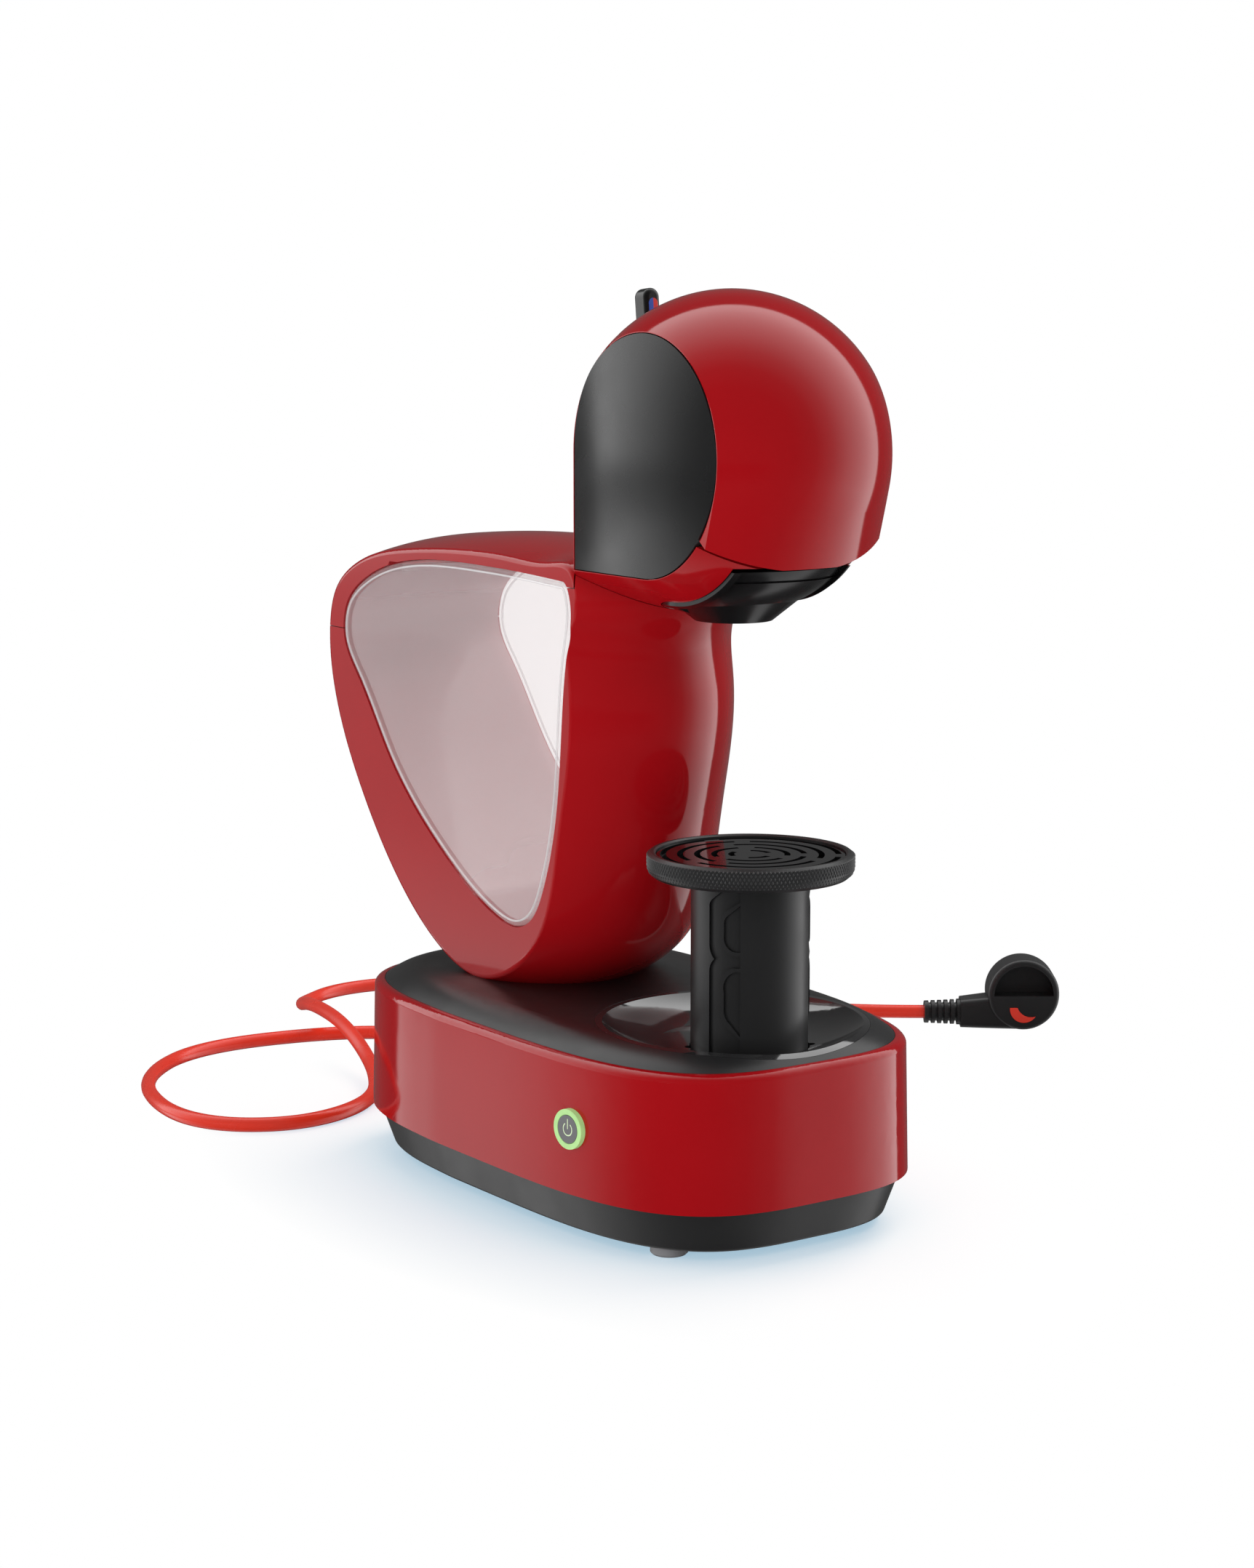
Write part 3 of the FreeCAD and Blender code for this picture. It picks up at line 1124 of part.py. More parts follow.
feature("plug_pins", Part.makeCompound(pins), plug_frame)

doc.recompute()

failed = []
for obj in doc.Objects:
    if "Invalid" in obj.State or "Error" in obj.State:
        failed.append(obj.Name)
for obj in nodes:
    shape = obj.Shape
    if shape.isNull() or not shape.isValid():
        failed.append(obj.Label + " shape")
if failed:
    raise RuntimeError("failed: " + ", ".join(failed))
os.makedirs("parts", exist_ok=True)
for obj in nodes:
    obj.Shape.exportStep("parts/%s.step" % obj.Label)
    print("%-18s %2d solids %9.0f mm3" % (obj.Label, len(obj.Shape.Solids), obj.Shape.Volume))
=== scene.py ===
import json
import math

import bmesh
import bpy
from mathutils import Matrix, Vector


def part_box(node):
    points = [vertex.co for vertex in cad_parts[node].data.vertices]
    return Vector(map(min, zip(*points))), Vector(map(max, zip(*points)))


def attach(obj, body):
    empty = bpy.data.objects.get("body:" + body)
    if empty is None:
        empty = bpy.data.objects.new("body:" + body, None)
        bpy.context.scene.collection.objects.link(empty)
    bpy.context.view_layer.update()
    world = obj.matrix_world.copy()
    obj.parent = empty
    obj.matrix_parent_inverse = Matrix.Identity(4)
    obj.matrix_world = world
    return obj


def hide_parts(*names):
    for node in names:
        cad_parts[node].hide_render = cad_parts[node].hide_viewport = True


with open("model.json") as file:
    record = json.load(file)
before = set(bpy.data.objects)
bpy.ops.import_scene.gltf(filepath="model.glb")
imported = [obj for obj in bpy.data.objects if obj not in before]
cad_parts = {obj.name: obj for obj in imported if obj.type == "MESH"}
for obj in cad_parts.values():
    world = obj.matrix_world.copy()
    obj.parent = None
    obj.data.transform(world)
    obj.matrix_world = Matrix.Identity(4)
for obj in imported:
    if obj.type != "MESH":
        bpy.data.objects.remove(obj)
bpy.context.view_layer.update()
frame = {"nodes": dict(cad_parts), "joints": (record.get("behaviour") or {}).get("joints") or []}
parts = frame["nodes"]

# Pod coffee machine: finishes, small pieces, stage and camera around the fixed model
# Metres, +Z up, front toward -Y

MICRON = 0.000001

# Camera at the photograph's viewing angle: angles in degrees, lens and sensor in millimetres

CAMERA_PLACE = (-0.774, -1.1201, 0.3856)
CAMERA_PITCH = 9.2
CAMERA_AZIMUTH = -35.12
CAMERA_LENS = 75.79
CAMERA_SENSOR = 36.0

camera_data = bpy.data.cameras.new("camera")
camera_data.lens = CAMERA_LENS
camera_data.sensor_width = CAMERA_SENSOR
camera = bpy.data.objects.new("camera", camera_data)
camera.location = CAMERA_PLACE
camera.rotation_euler = (math.radians(90.0 - CAMERA_PITCH), 0.0, math.radians(CAMERA_AZIMUTH))
bpy.context.collection.objects.link(camera)
bpy.context.scene.camera = camera
bpy.context.scene.view_settings.view_transform = "Standard"


# Frame and object helpers

def joint_axis(name):
    """Direction of a joint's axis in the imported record."""
    axis = next(joint["axis"] for joint in frame["joints"] if joint["name"] == name)
    return Vector(axis).normalized()


def shown(name, data, finish):
    """New object with one finish, linked to the scene."""
    obj = bpy.data.objects.new(name, data)
    obj.data.materials.append(finish)
    bpy.context.collection.objects.link(obj)
    return obj


def meshed(name, form):
    """Mesh made from a bmesh, which is freed."""
    mesh = bpy.data.meshes.new(name)
    form.to_mesh(mesh)
    form.free()
    return mesh


def tube(name, points, radius, facets, steps, closed):
    """Curve data for a round tube along one smooth line with the given control points."""
    curve = bpy.data.curves.new(name, "CURVE")
    curve.dimensions = "3D"
    curve.bevel_depth = radius
    curve.bevel_resolution = facets
    curve.resolution_u = steps
    curve.use_fill_caps = not closed
    spline = curve.splines.new("NURBS")
    spline.points.add(len(points) - 1)
    for control, place in zip(spline.points, points):
        control.co = (*place, 1.0)
    spline.order_u = 3
    spline.use_cyclic_u = closed
    spline.use_endpoint_u = not closed
    return curve


# Node helpers: a pattern is a noise's scale per metre and its detail

NOISE_LOW = 0.3
NOISE_HIGH = 0.7


def material(name):
    """New node material; returns it with its tree and its shader."""
    mat = bpy.data.materials.new(name)
    mat.use_nodes = True
    return mat, mat.node_tree, mat.node_tree.nodes["Principled BSDF"]


def noise(tree, scale, detail):
    """Noise over the piece's own coordinates."""
    place = tree.nodes.new("ShaderNodeTexCoord")
    cloud = tree.nodes.new("ShaderNodeTexNoise")
    cloud.inputs["Scale"].default_value = scale
    cloud.inputs["Detail"].default_value = detail
    tree.links.new(place.outputs["Object"], cloud.inputs["Vector"])
    return cloud.outputs["Fac"]


def spread(tree, source, low, high, start=NOISE_LOW, end=NOISE_HIGH):
    """Map a span of a source to a range of values."""
    remap = tree.nodes.new("ShaderNodeMapRange")
    remap.inputs["From Min"].default_value = start
    remap.inputs["From Max"].default_value = end
    remap.inputs["To Min"].default_value = low
    remap.inputs["To Max"].default_value = high
    tree.links.new(source, remap.inputs["Value"])
    return remap.outputs["Result"]


def tinted(tree, colour, swing, pattern):
    """Colour that drifts a little darker and lighter with a noise."""
    ramp = tree.nodes.new("ShaderNodeValToRGB")
    ends = ((NOISE_LOW, 1.0 - swing), (NOISE_HIGH, 1.0 + swing))
    for stop, (position, share) in zip(ramp.color_ramp.elements, ends):
        stop.position = position
        stop.color = [min(1.0, c * share) for c in colour] + [1.0]
    tree.links.new(noise(tree, *pattern), ramp.inputs["Fac"])
    return ramp.outputs["Color"]


def patchy_gloss(tree, shader, rough, swing, pattern):
    """Roughness that varies round a value with a noise."""
    levels = spread(tree, noise(tree, *pattern), rough * (1.0 - swing), rough * (1.0 + swing))
    tree.links.new(levels, shader.inputs["Roughness"])


def bump(tree, shader, height, depth=1.0, under=None):
    """Relief of a height times a depth in metres, on top of an earlier relief if there is one."""
    relief = tree.nodes.new("ShaderNodeBump")
    relief.inputs["Distance"].default_value = depth
    tree.links.new(height, relief.inputs["Height"])
    if under:
        tree.links.new(under.outputs["Normal"], relief.inputs["Normal"])
    tree.links.new(relief.outputs["Normal"], shader.inputs["Normal"])
    return relief


def arithmetic(tree, kind, first, second=0.0):
    """One sum on one or two sources, either of which may be a plain number."""
    step = tree.nodes.new("ShaderNodeMath")
    step.operation = kind
    for socket, source in zip(step.inputs, (first, second)):
        if isinstance(source, (int, float)):
            socket.default_value = source
        else:
            tree.links.new(source, socket)
    return step.outputs["Value"]


def square(tree, source):
    """A source times itself."""
    return arithmetic(tree, "MULTIPLY", source, source)


def along(tree, source, direction):
    """How far a vector reaches in a direction."""
    reach = tree.nodes.new("ShaderNodeVectorMath")
    reach.operation = "DOT_PRODUCT"
    reach.inputs[1].default_value = direction
    tree.links.new(source, reach.inputs[0])
    return reach.outputs["Value"]


def mixed(tree, weight, first, second):
    """Mix of two colours by a weight."""
    mix = tree.nodes.new("ShaderNodeMix")
    mix.data_type = "RGBA"
    tree.links.new(weight, mix.inputs["Factor"])
    sockets = [socket for socket in mix.inputs if socket.type == "RGBA"]
    tree.links.new(first, sockets[0])
    tree.links.new(second, sockets[1])
    return next(socket for socket in mix.outputs if socket.type == "RGBA")


def dome(tree, middle, bend):
    """Height in metres of a shallow crown over the YZ plane; bend is its curvature along each axis."""
    place = tree.nodes.new("ShaderNodeTexCoord")
    split = tree.nodes.new("ShaderNodeSeparateXYZ")
    tree.links.new(place.outputs["Object"], split.inputs["Vector"])
    falls = []
    for axis, centre, rate in zip("YZ", middle, bend):
        offset = arithmetic(tree, "SUBTRACT", split.outputs[axis], centre)
        falls.append(arithmetic(tree, "MULTIPLY", square(tree, offset), -0.5 * rate))
    return arithmetic(tree, "ADD", *falls)


def printed_bar(tree, low_end, up, length, radius, depth):
    """Masks for a bar with round ends on a front face: the bar, and all that is right of its middle."""
    place = tree.nodes.new("ShaderNodeTexCoord")
    offset = tree.nodes.new("ShaderNodeVectorMath")
    offset.operation = "SUBTRACT"
    offset.inputs[1].default_value = low_end
    tree.links.new(place.outputs["Object"], offset.inputs[0])
    across, upward, ahead = [along(tree, offset.outputs["Vector"], direction)
                             for direction in ((1.0, 0.0, 0.0), up, (0.0, -up[2], up[1]))]
    nearest = arithmetic(tree, "MINIMUM", arithmetic(tree, "MAXIMUM", upward, 0.0), length)
    beyond = arithmetic(tree, "SUBTRACT", upward, nearest)
    away = arithmetic(tree, "SQRT", arithmetic(tree, "ADD", square(tree, across), square(tree, beyond)))
    inside = arithmetic(tree, "LESS_THAN", away, radius)
    front = arithmetic(tree, "GREATER_THAN", ahead, -depth)
    return arithmetic(tree, "MULTIPLY", inside, front), arithmetic(tree, "GREATER_THAN", across, 0.0)


# Kinds of finish: a drift is a pattern of noise, and a swing is a share of the value that it varies

PLASTIC_IOR = 1.5
COLOUR_DRIFT = (22.0, 3.0)
GLOSS_DRIFT = (60.0, 4.0)
GLOSS_SWING = 0.1
GRAIN_DETAIL = 3.0
PRINT_DRIFT = (90.0, 3.0)
PRINT_SWING = 0.06
HAZE_DRIFT = (14.0, 2.0)
HAZE_SWING = 0.03
CLEAR_GLOSS_DRIFT = (18.0, 2.0)
CLEAR_GLOSS = (0.04, 0.09)
FLANK_FACING = (0.5, 0.95)
CLEAR_COAT = 0.5
CLEAR_COAT_ROUGH = 0.03
METAL_DRIFT = (120.0, 4.0)
METAL_SWING = 0.08
METAL_GLOSS_DRIFT = (300.0, 4.0)
METAL_GLOSS_SWING = 0.3
LIT_DRIFT = (250.0, 2.0)
LIT_SWING = 0.06
LIT_ROUGH = 0.3


def moulded(name, colour, rough, grain, depth, swing, crown=None, ior=PLASTIC_IOR):
    """Moulded plastic: slow colour drift, patchy gloss and a fine grain, on a crown if there is one."""
    mat, tree, shader = material(name)
    shader.inputs["IOR"].default_value = ior
    tree.links.new(tinted(tree, colour, swing, COLOUR_DRIFT), shader.inputs["Base Color"])
    patchy_gloss(tree, shader, rough, GLOSS_SWING, GLOSS_DRIFT)
    under = bump(tree, shader, dome(tree, *crown)) if crown else None
    bump(tree, shader, noise(tree, grain, GRAIN_DETAIL), depth, under)
    return mat


def marked(name, colour, rough, grain, depth, bar, left_colour, right_colour):
    """Moulded plastic with a printed two-colour bar."""
    mat, tree, shader = material(name)
    plain, left, right = [tinted(tree, shade, PRINT_SWING, PRINT_DRIFT)
                          for shade in (colour, left_colour, right_colour)]
    inside, right_half = printed_bar(tree, *bar)
    paint = mixed(tree, right_half, left, right)
    tree.links.new(mixed(tree, inside, plain, paint), shader.inputs["Base Color"])
    patchy_gloss(tree, shader, rough, GLOSS_SWING, GLOSS_DRIFT)
    bump(tree, shader, noise(tree, grain, GRAIN_DETAIL), depth)
    return mat


def clear_plastic(name, colour, alpha, wall_highlight_alpha=None):
    """Clear plastic with a pale uneven tint; walls that don't face sideways may have their own alpha, whose
    denser pale haze paints a highlight along the outline.
    """
    mat, tree, shader = material(name)
    tree.links.new(tinted(tree, colour, HAZE_SWING, HAZE_DRIFT), shader.inputs["Base Color"])
    gloss = spread(tree, noise(tree, *CLEAR_GLOSS_DRIFT), *CLEAR_GLOSS)
    tree.links.new(gloss, shader.inputs["Roughness"])
    shader.inputs["Alpha"].default_value = alpha
    shader.inputs["Coat Weight"].default_value = CLEAR_COAT
    shader.inputs["Coat Roughness"].default_value = CLEAR_COAT_ROUGH
    # A higher, paler alpha on the outer wall is a painted highlight round the clear piece's outline
    if wall_highlight_alpha is not None:
        place = tree.nodes.new("ShaderNodeTexCoord")
        split = tree.nodes.new("ShaderNodeSeparateXYZ")
        tree.links.new(place.outputs["Normal"], split.inputs["Vector"])
        sideways = arithmetic(tree, "ABSOLUTE", split.outputs["X"])
        tree.links.new(spread(tree, sideways, wall_highlight_alpha, alpha, *FLANK_FACING), shader.inputs["Alpha"])
    return mat


def metal(name, colour, rough):
    """Bare metal with a fine uneven sheen."""
    mat, tree, shader = material(name)
    tree.links.new(tinted(tree, colour, METAL_SWING, METAL_DRIFT), shader.inputs["Base Color"])
    patchy_gloss(tree, shader, rough, METAL_GLOSS_SWING, METAL_GLOSS_DRIFT)
    shader.inputs["Metallic"].default_value = 1.0
    return mat


def lit(name, colour, glow):
    """Translucent plastic lit from behind."""
    mat, tree, shader = material(name)
    shade = tinted(tree, colour, LIT_SWING, LIT_DRIFT)
    tree.links.new(shade, shader.inputs["Base Color"])
    tree.links.new(shade, shader.inputs["Emission Color"])
    shader.inputs["Emission Strength"].default_value = glow
    shader.inputs["Roughness"].default_value = LIT_ROUGH
    return mat


# Materials: grain is a noise scale per metre, and depth its relief

BLUE = (0.045, 0.12, 0.55)
WARM_RED = (0.70, 0.055, 0.045)
FINE_BLACK = (0.008, 0.008, 0.0082)

# Printed bar on the lever: from the middle of its two modelled marks upward, and as wide as they are
# MARK_DEPTH is how far behind that middle the print still reaches

MARK_LENGTH = 0.0047
MARK_DEPTH = 0.0011
mark_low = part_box("lever_mark_cold")[0]
mark_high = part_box("lever_mark_hot")[1]
mark_middle = (mark_low + mark_high) / 2.0
mark_radius = (mark_high.x - mark_low.x) / 2.0
lever_axis = joint_axis("lever_select")
lever_up = (0.0, -lever_axis.z, lever_axis.y)

# Crown of the side panels: an offset from their middle, and a curvature per metre, along Y and Z

CROWN_OFFSET = Vector((0.0, 0.015, -0.0025))
CROWN_BEND = (5.4, 5.0)
panel_low, panel_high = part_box("side_panel_left")
crown_middle = (panel_low + panel_high) / 2.0 + CROWN_OFFSET

red_gloss = moulded(
    "red_gloss", (0.385, 0.0042, 0.0075), rough=0.09, grain=420.0, depth=1.2 * MICRON, swing=0.03)
black_satin = moulded(
    "black_satin", (0.020, 0.020, 0.0205), rough=0.36, grain=2600.0, depth=12.0 * MICRON, swing=0.1)
black_knurl = moulded(
    "black_knurl", (0.030, 0.030, 0.0305), rough=0.3, grain=2600.0, depth=4.0 * MICRON, swing=0.1)
black_dish = moulded(
    "black_dish", (0.022, 0.022, 0.0225), rough=0.07, grain=400.0, depth=2.0 * MICRON, swing=0.1, ior=2.0)
black_deck = moulded(
    "black_deck", (0.013, 0.013, 0.0135), rough=0.33, grain=2600.0, depth=10.0 * MICRON, swing=0.1)
black_panel = moulded(
    "black_panel", (0.011, 0.0112, 0.0114), rough=0.27, grain=2600.0, depth=2.0 * MICRON, swing=0.05,
    crown=(crown_middle.yz, CROWN_BEND))
black_fine = moulded(
    "black_fine", FINE_BLACK, rough=0.2, grain=2200.0, depth=3.0 * MICRON, swing=0.1)
black_gloss = moulded(
    "black_gloss", (0.008, 0.008, 0.0085), rough=0.06, grain=400.0, depth=2.0 * MICRON, swing=0.1)
grey_rubber = moulded(
    "grey_rubber", (0.26, 0.26, 0.27), rough=0.6, grain=1800.0, depth=30.0 * MICRON, swing=0.08)
inner_plastic = moulded(
    "inner_plastic", (0.045, 0.045, 0.048), rough=0.5, grain=1500.0, depth=20.0 * MICRON, swing=0.1)
button_grey = moulded(
    "button_grey", (0.15, 0.15, 0.155), rough=0.45, grain=2500.0, depth=10.0 * MICRON, swing=0.06)
board_green = moulded(
    "board_green", (0.02, 0.13, 0.05), rough=0.35, grain=700.0, depth=40.0 * MICRON, swing=0.2)
cold_blue = moulded(
    "cold_blue", BLUE, rough=0.25, grain=2500.0, depth=4.0 * MICRON, swing=0.05)
hot_red = moulded(
    "hot_red", WARM_RED, rough=0.25, grain=2500.0, depth=4.0 * MICRON, swing=0.05)
lever_black = marked(
    "lever_black", FINE_BLACK, rough=0.2, grain=2200.0, depth=3.0 * MICRON,
    bar=(mark_middle, lever_up, MARK_LENGTH, mark_radius, MARK_DEPTH),
    left_colour=BLUE, right_colour=WARM_RED)
cord_orange = moulded(
    "cord_orange", (0.77, 0.038, 0.017), rough=0.26, grain=1500.0, depth=10.0 * MICRON, swing=0.06)
hose_milk = moulded(
    "hose_milk", (0.62, 0.63, 0.6), rough=0.35, grain=900.0, depth=10.0 * MICRON, swing=0.05)
# The tank's outer wall has a denser pale haze than its flanks: a painted highlight round its outline
tank_clear = clear_plastic("tank_clear", (1.0, 0.86, 0.865), alpha=0.125, wall_highlight_alpha=0.3)
# Near-white, fairly opaque clear finish for the tank beads: a painted highlight along the tank's edges
tank_edge_highlight = clear_plastic("tank_edge_highlight", (0.96, 0.95, 0.955), alpha=0.36)
steel = metal("steel", (0.55, 0.55, 0.56), rough=0.3)
heater_alloy = metal("heater_alloy", (0.6, 0.6, 0.6), rough=0.5)
ring_light = lit("ring_light", (0.34, 0.57, 0.22), glow=0.45)
symbol_light = lit("symbol_light", (0.58, 0.70, 0.46), glow=0.30)

finishes = {
    red_gloss: ("base_band", "body_shell", "tank_lid", "hood", "head_shell"),
    black_satin: ("base_pan", "drip_tray", "drip_column", "column_guide", "cord_gland", "plug_relief",
                  "plug_body"),
    black_deck: ("base_deck",),
    black_panel: ("side_panel_right", "side_panel_left"),
    black_fine: ("pod_holder",),
    lever_black: ("selector_lever",),
    black_gloss: ("drip_grid",),
    black_dish: ("collar_dish",),
    grey_rubber: ("rubber_feet", "injector_seal", "pump_mounts"),
    inner_plastic: ("tank_seat", "tank_valve", "head_core", "injector_plate", "selector_valve",
                    "button_switch"),
    button_grey: ("power_button",),
    board_green: ("control_board",),
    cold_blue: ("lever_mark_cold",),
    hot_red: ("lever_mark_hot",),
    cord_orange: ("plug_accent",),
    hose_milk: ("inlet_hose", "outlet_hose", "head_hose"),
    tank_clear: ("water_tank",),
    steel: ("base_screws", "hinge_pin", "injector_needle", "pump", "plug_pins"),
    heater_alloy: ("heater",),
    ring_light: ("button_ring",),
}
for finish, names in finishes.items():
    for name in names:
        parts[name].data.materials.clear()
        parts[name].data.materials.append(finish)

# Mains cord: one smooth spline on the route of the modelled tube, with named heights of its middle line

CORD_RADIUS = 0.0033
CORD_FACETS = 6
CORD_STEPS = 12
LIE = 0.0034
CLIMB = 0.0054
HUMP = 0.0165
PLUG_LIFT = 0.0074
cord_route = [
    (0.0493, 0.1259, 0.0380), (0.0567, 0.1444, 0.0380), (0.0663, 0.1686, 0.0290), (0.0722, 0.1983, 0.0100),
    (0.0620, 0.2340, LIE), (0.0260, 0.2660, LIE), (-0.0480, 0.2770, LIE), (-0.0980, 0.2360, LIE),
    (-0.1158, 0.1767, LIE), (-0.1060, 0.1400, LIE), (-0.0723, 0.1225, LIE), (-0.0300, 0.1380, LIE),
    (-0.0040, 0.1780, CLIMB), (0.0090, 0.2280, HUMP), (0.0190, 0.2800, HUMP), (0.0380, 0.3280, LIE),
    (0.0736, 0.3500, LIE), (0.1210, 0.3400, LIE), (0.1700, 0.2890, LIE), (0.2180, 0.2120, LIE),
    (0.2470, 0.1422, PLUG_LIFT), (0.2800, 0.1190, PLUG_LIFT)]

cord_curve = tube("mains_cord", cord_route, CORD_RADIUS, CORD_FACETS, CORD_STEPS, closed=False)
cord = shown("mains_cord", cord_curve, cord_orange)
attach(cord, "machine")
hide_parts("power_cord")

# Knurl: rows of small pyramids round the drip tray's rim, closed by a ring inside the rim's wall

KNURL_COUNT = 156
KNURL_HEIGHT = 0.0004
KNURL_ROOT = -0.0001
KNURL_BACK = 0.0006
FLAT_ROW = (KNURL_ROOT, KNURL_ROOT)
PEAK_ROWS = ((KNURL_ROOT, KNURL_HEIGHT), (KNURL_HEIGHT, KNURL_ROOT))
BACK_ROW = (0.0, 0.0)

# Inset from the tray's radius and drop below its top, from the lowest row up

RIM_ROWS = ((0.00175, 0.0091), (0.00075, 0.0079), (0.0002, 0.00665), (0.0, 0.0053), (0.0, 0.0039),
            (0.0, 0.0025), (0.0, 0.0012), (0.00095, 0.0002))
tray_low, tray_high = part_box("drip_tray")
tray_middle = (tray_low + tray_high) / 2.0
tray_radius = tray_high.x - tray_middle.x
ring_size = 2 * KNURL_COUNT


def rim_ring(form, inset, drop, lifts):
    """Ring of vertices at an inset and a drop, pushed out by the two lifts in turn."""
    ring = []
    for i in range(ring_size):
        turn = math.tau * i / ring_size
        out = tray_radius - inset + lifts[i % 2]
        x = tray_middle.x + out * math.cos(turn)
        y = tray_middle.y + out * math.sin(turn)
        ring.append(form.verts.new((x, y, tray_high.z - drop)))
    return ring


knurl_form = bmesh.new()
rows = []
for j, (inset, drop) in enumerate(RIM_ROWS):
    at_edge = j in (0, len(RIM_ROWS) - 1)
    rows.append(rim_ring(knurl_form, inset, drop, FLAT_ROW if at_edge else PEAK_ROWS[j % 2]))
for j, row in enumerate(rows):
    for i in range((j + 1) % 2, ring_size, 2):
        before = row[i - 1]
        after = row[(i + 1) % ring_size]
        for other in (j - 1, j + 1):
            if 0 <= other < len(rows):
                tip = rows[other][i]
                knurl_form.faces.new((row[i], before, tip))
                knurl_form.faces.new((row[i], tip, after))
backs = [rim_ring(knurl_form, inset + KNURL_BACK, drop, BACK_ROW)
         for inset, drop in (RIM_ROWS[0], RIM_ROWS[-1])]
for low, high in ((rows[0], backs[0]), (backs[0], backs[1]), (backs[1], rows[-1])):
    for i in range(ring_size):
        n = (i + 1) % ring_size
        knurl_form.faces.new((low[i], low[n], high[n], high[i]))
bmesh.ops.recalc_face_normals(knurl_form, faces=knurl_form.faces)
knurl = shown("tray_knurl", meshed("tray_knurl", knurl_form), black_knurl)
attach(knurl, "tray")

# Tank beads: a rounded edge just inside the outline of each flank, whose near-white clear finish paints a
# highlight along the tank's edges

BEAD_INSET = 0.0014
BEAD_RADIUS = 0.0005
BEAD_FACETS = 3
BEAD_STEPS = 3
FLAT = 20.0 * MICRON
WELD = 2.0 * MICRON
tank_form = bmesh.new()
tank_form.from_mesh(parts["water_tank"].data)
bmesh.ops.remove_doubles(tank_form, verts=tank_form.verts, dist=WELD)
tank_low, tank_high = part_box("water_tank")


def outline(form, level):
    """Closed run of points round the flat face that lies at one level of x."""
    flank = {face for face in form.faces if all(abs(vert.co.x - level) < FLAT for vert in face.verts)}
    links = {}
    for face in flank:
        for edge in face.edges:
            if sum(other in flank for other in edge.link_faces) == 1:
                first, second = edge.verts
                links.setdefault(first, []).append(second)
                links.setdefault(second, []).append(first)
    start = min(links, key=lambda vert: (vert.co.z, vert.co.y))
    run = [start]
    step = max(links[start], key=lambda vert: vert.co.y)
    while step is not start:
        run.append(step)
        step = next((vert for vert in links[step] if vert is not run[-2]), start)
    return [vert.co.copy() for vert in run]


def inset_run(run, inset):
    """Closed run of points moved inward, square to the run, in the YZ plane."""
    moved = []
    for i, point in enumerate(run):
        ahead = (run[(i + 1) % len(run)] - run[i - 1]).normalized()
        moved.append(point + Vector((0.0, -ahead.z, ahead.y)) * inset)
    return moved


for side, level in (("left", tank_low.x), ("right", tank_high.x)):
    bead_name = "tank_bead_" + side
    bead_line = inset_run(outline(tank_form, level), BEAD_INSET)
    bead_curve = tube(bead_name, bead_line, BEAD_RADIUS, BEAD_FACETS, BEAD_STEPS, closed=True)
    bead = shown(bead_name, bead_curve, tank_edge_highlight)
    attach(bead, "tank")
tank_form.free()

# Power symbol: pale inlay in the groove of the button's face; its heights are measured outward from face_at

RING_MIDDLE = 0.0007
INLAY_FLOOR = 0.00162
INLAY_TOP = 0.00192
SYMBOL_RADIUS = 0.0025
SYMBOL_HALF = 0.00024
SYMBOL_START = 124.0
SYMBOL_TURN = 292.0
SYMBOL_STEPS = 40
BAR_LOW = 0.00008
BAR_HIGH = 0.00412
face_out = -joint_axis("button_press")
face_up = Vector((0.0, 0.0, 1.0))
face_right = face_up.cross(face_out)
ring_low, ring_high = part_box("button_ring")
face_at = (ring_low + ring_high) / 2.0 - face_out * RING_MIDDLE


def ribbon(form, run, half):
    """Flat bar that follows a run of points on the button's face."""
    sections = []
    for i, (x, y) in enumerate(run):
        ahead = run[min(i + 1, len(run) - 1)]
        behind = run[max(i - 1, 0)]
        step = Vector((ahead[0] - behind[0], ahead[1] - behind[1])).normalized()
        corners = []
        for side, lift in ((-1, INLAY_FLOOR), (1, INLAY_FLOOR), (1, INLAY_TOP), (-1, INLAY_TOP)):
            across = face_right * (x - side * half * step.y) + face_up * (y + side * half * step.x)
            corners.append(form.verts.new(face_at + across + face_out * lift))
        sections.append(corners)
    for near, far in zip(sections, sections[1:]):
        for k in range(4):
            form.faces.new((near[k], near[(k + 1) % 4], far[(k + 1) % 4], far[k]))
    form.faces.new(sections[0])
    form.faces.new(reversed(sections[-1]))


symbol_form = bmesh.new()
sweep = [math.radians(SYMBOL_START + SYMBOL_TURN * i / SYMBOL_STEPS) for i in range(SYMBOL_STEPS + 1)]
ribbon(symbol_form, [(SYMBOL_RADIUS * math.cos(a), SYMBOL_RADIUS * math.sin(a)) for a in sweep], SYMBOL_HALF)
ribbon(symbol_form, [(0.0, y) for y in (BAR_LOW, (BAR_LOW + BAR_HIGH) / 2.0, BAR_HIGH)], SYMBOL_HALF)
bmesh.ops.recalc_face_normals(symbol_form, faces=symbol_form.faces)
symbol = shown("power_symbol", meshed("power_symbol", symbol_form), symbol_light)
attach(symbol, "button")

# Stage: white surround, pale floor and soft lamps

WHITE = (1.0, 1.0, 1.0)


def chosen(tree, weight, plain, other):
    """Mix of two shaders by a weight."""
    blend = tree.nodes.new("ShaderNodeMixShader")
    tree.links.new(weight, blend.inputs["Fac"])
    tree.links.new(plain, blend.inputs[1])
    tree.links.new(other, blend.inputs[2])
    return blend.outputs["Shader"]


def seen_directly(tree):
    """One where a ray comes from the camera, straight or through something clear."""
    path = tree.nodes.new("ShaderNodeLightPath")
    return arithmetic(tree, "MAXIMUM", path.outputs["Is Camera Ray"], path.outputs["Is Transmission Ray"])


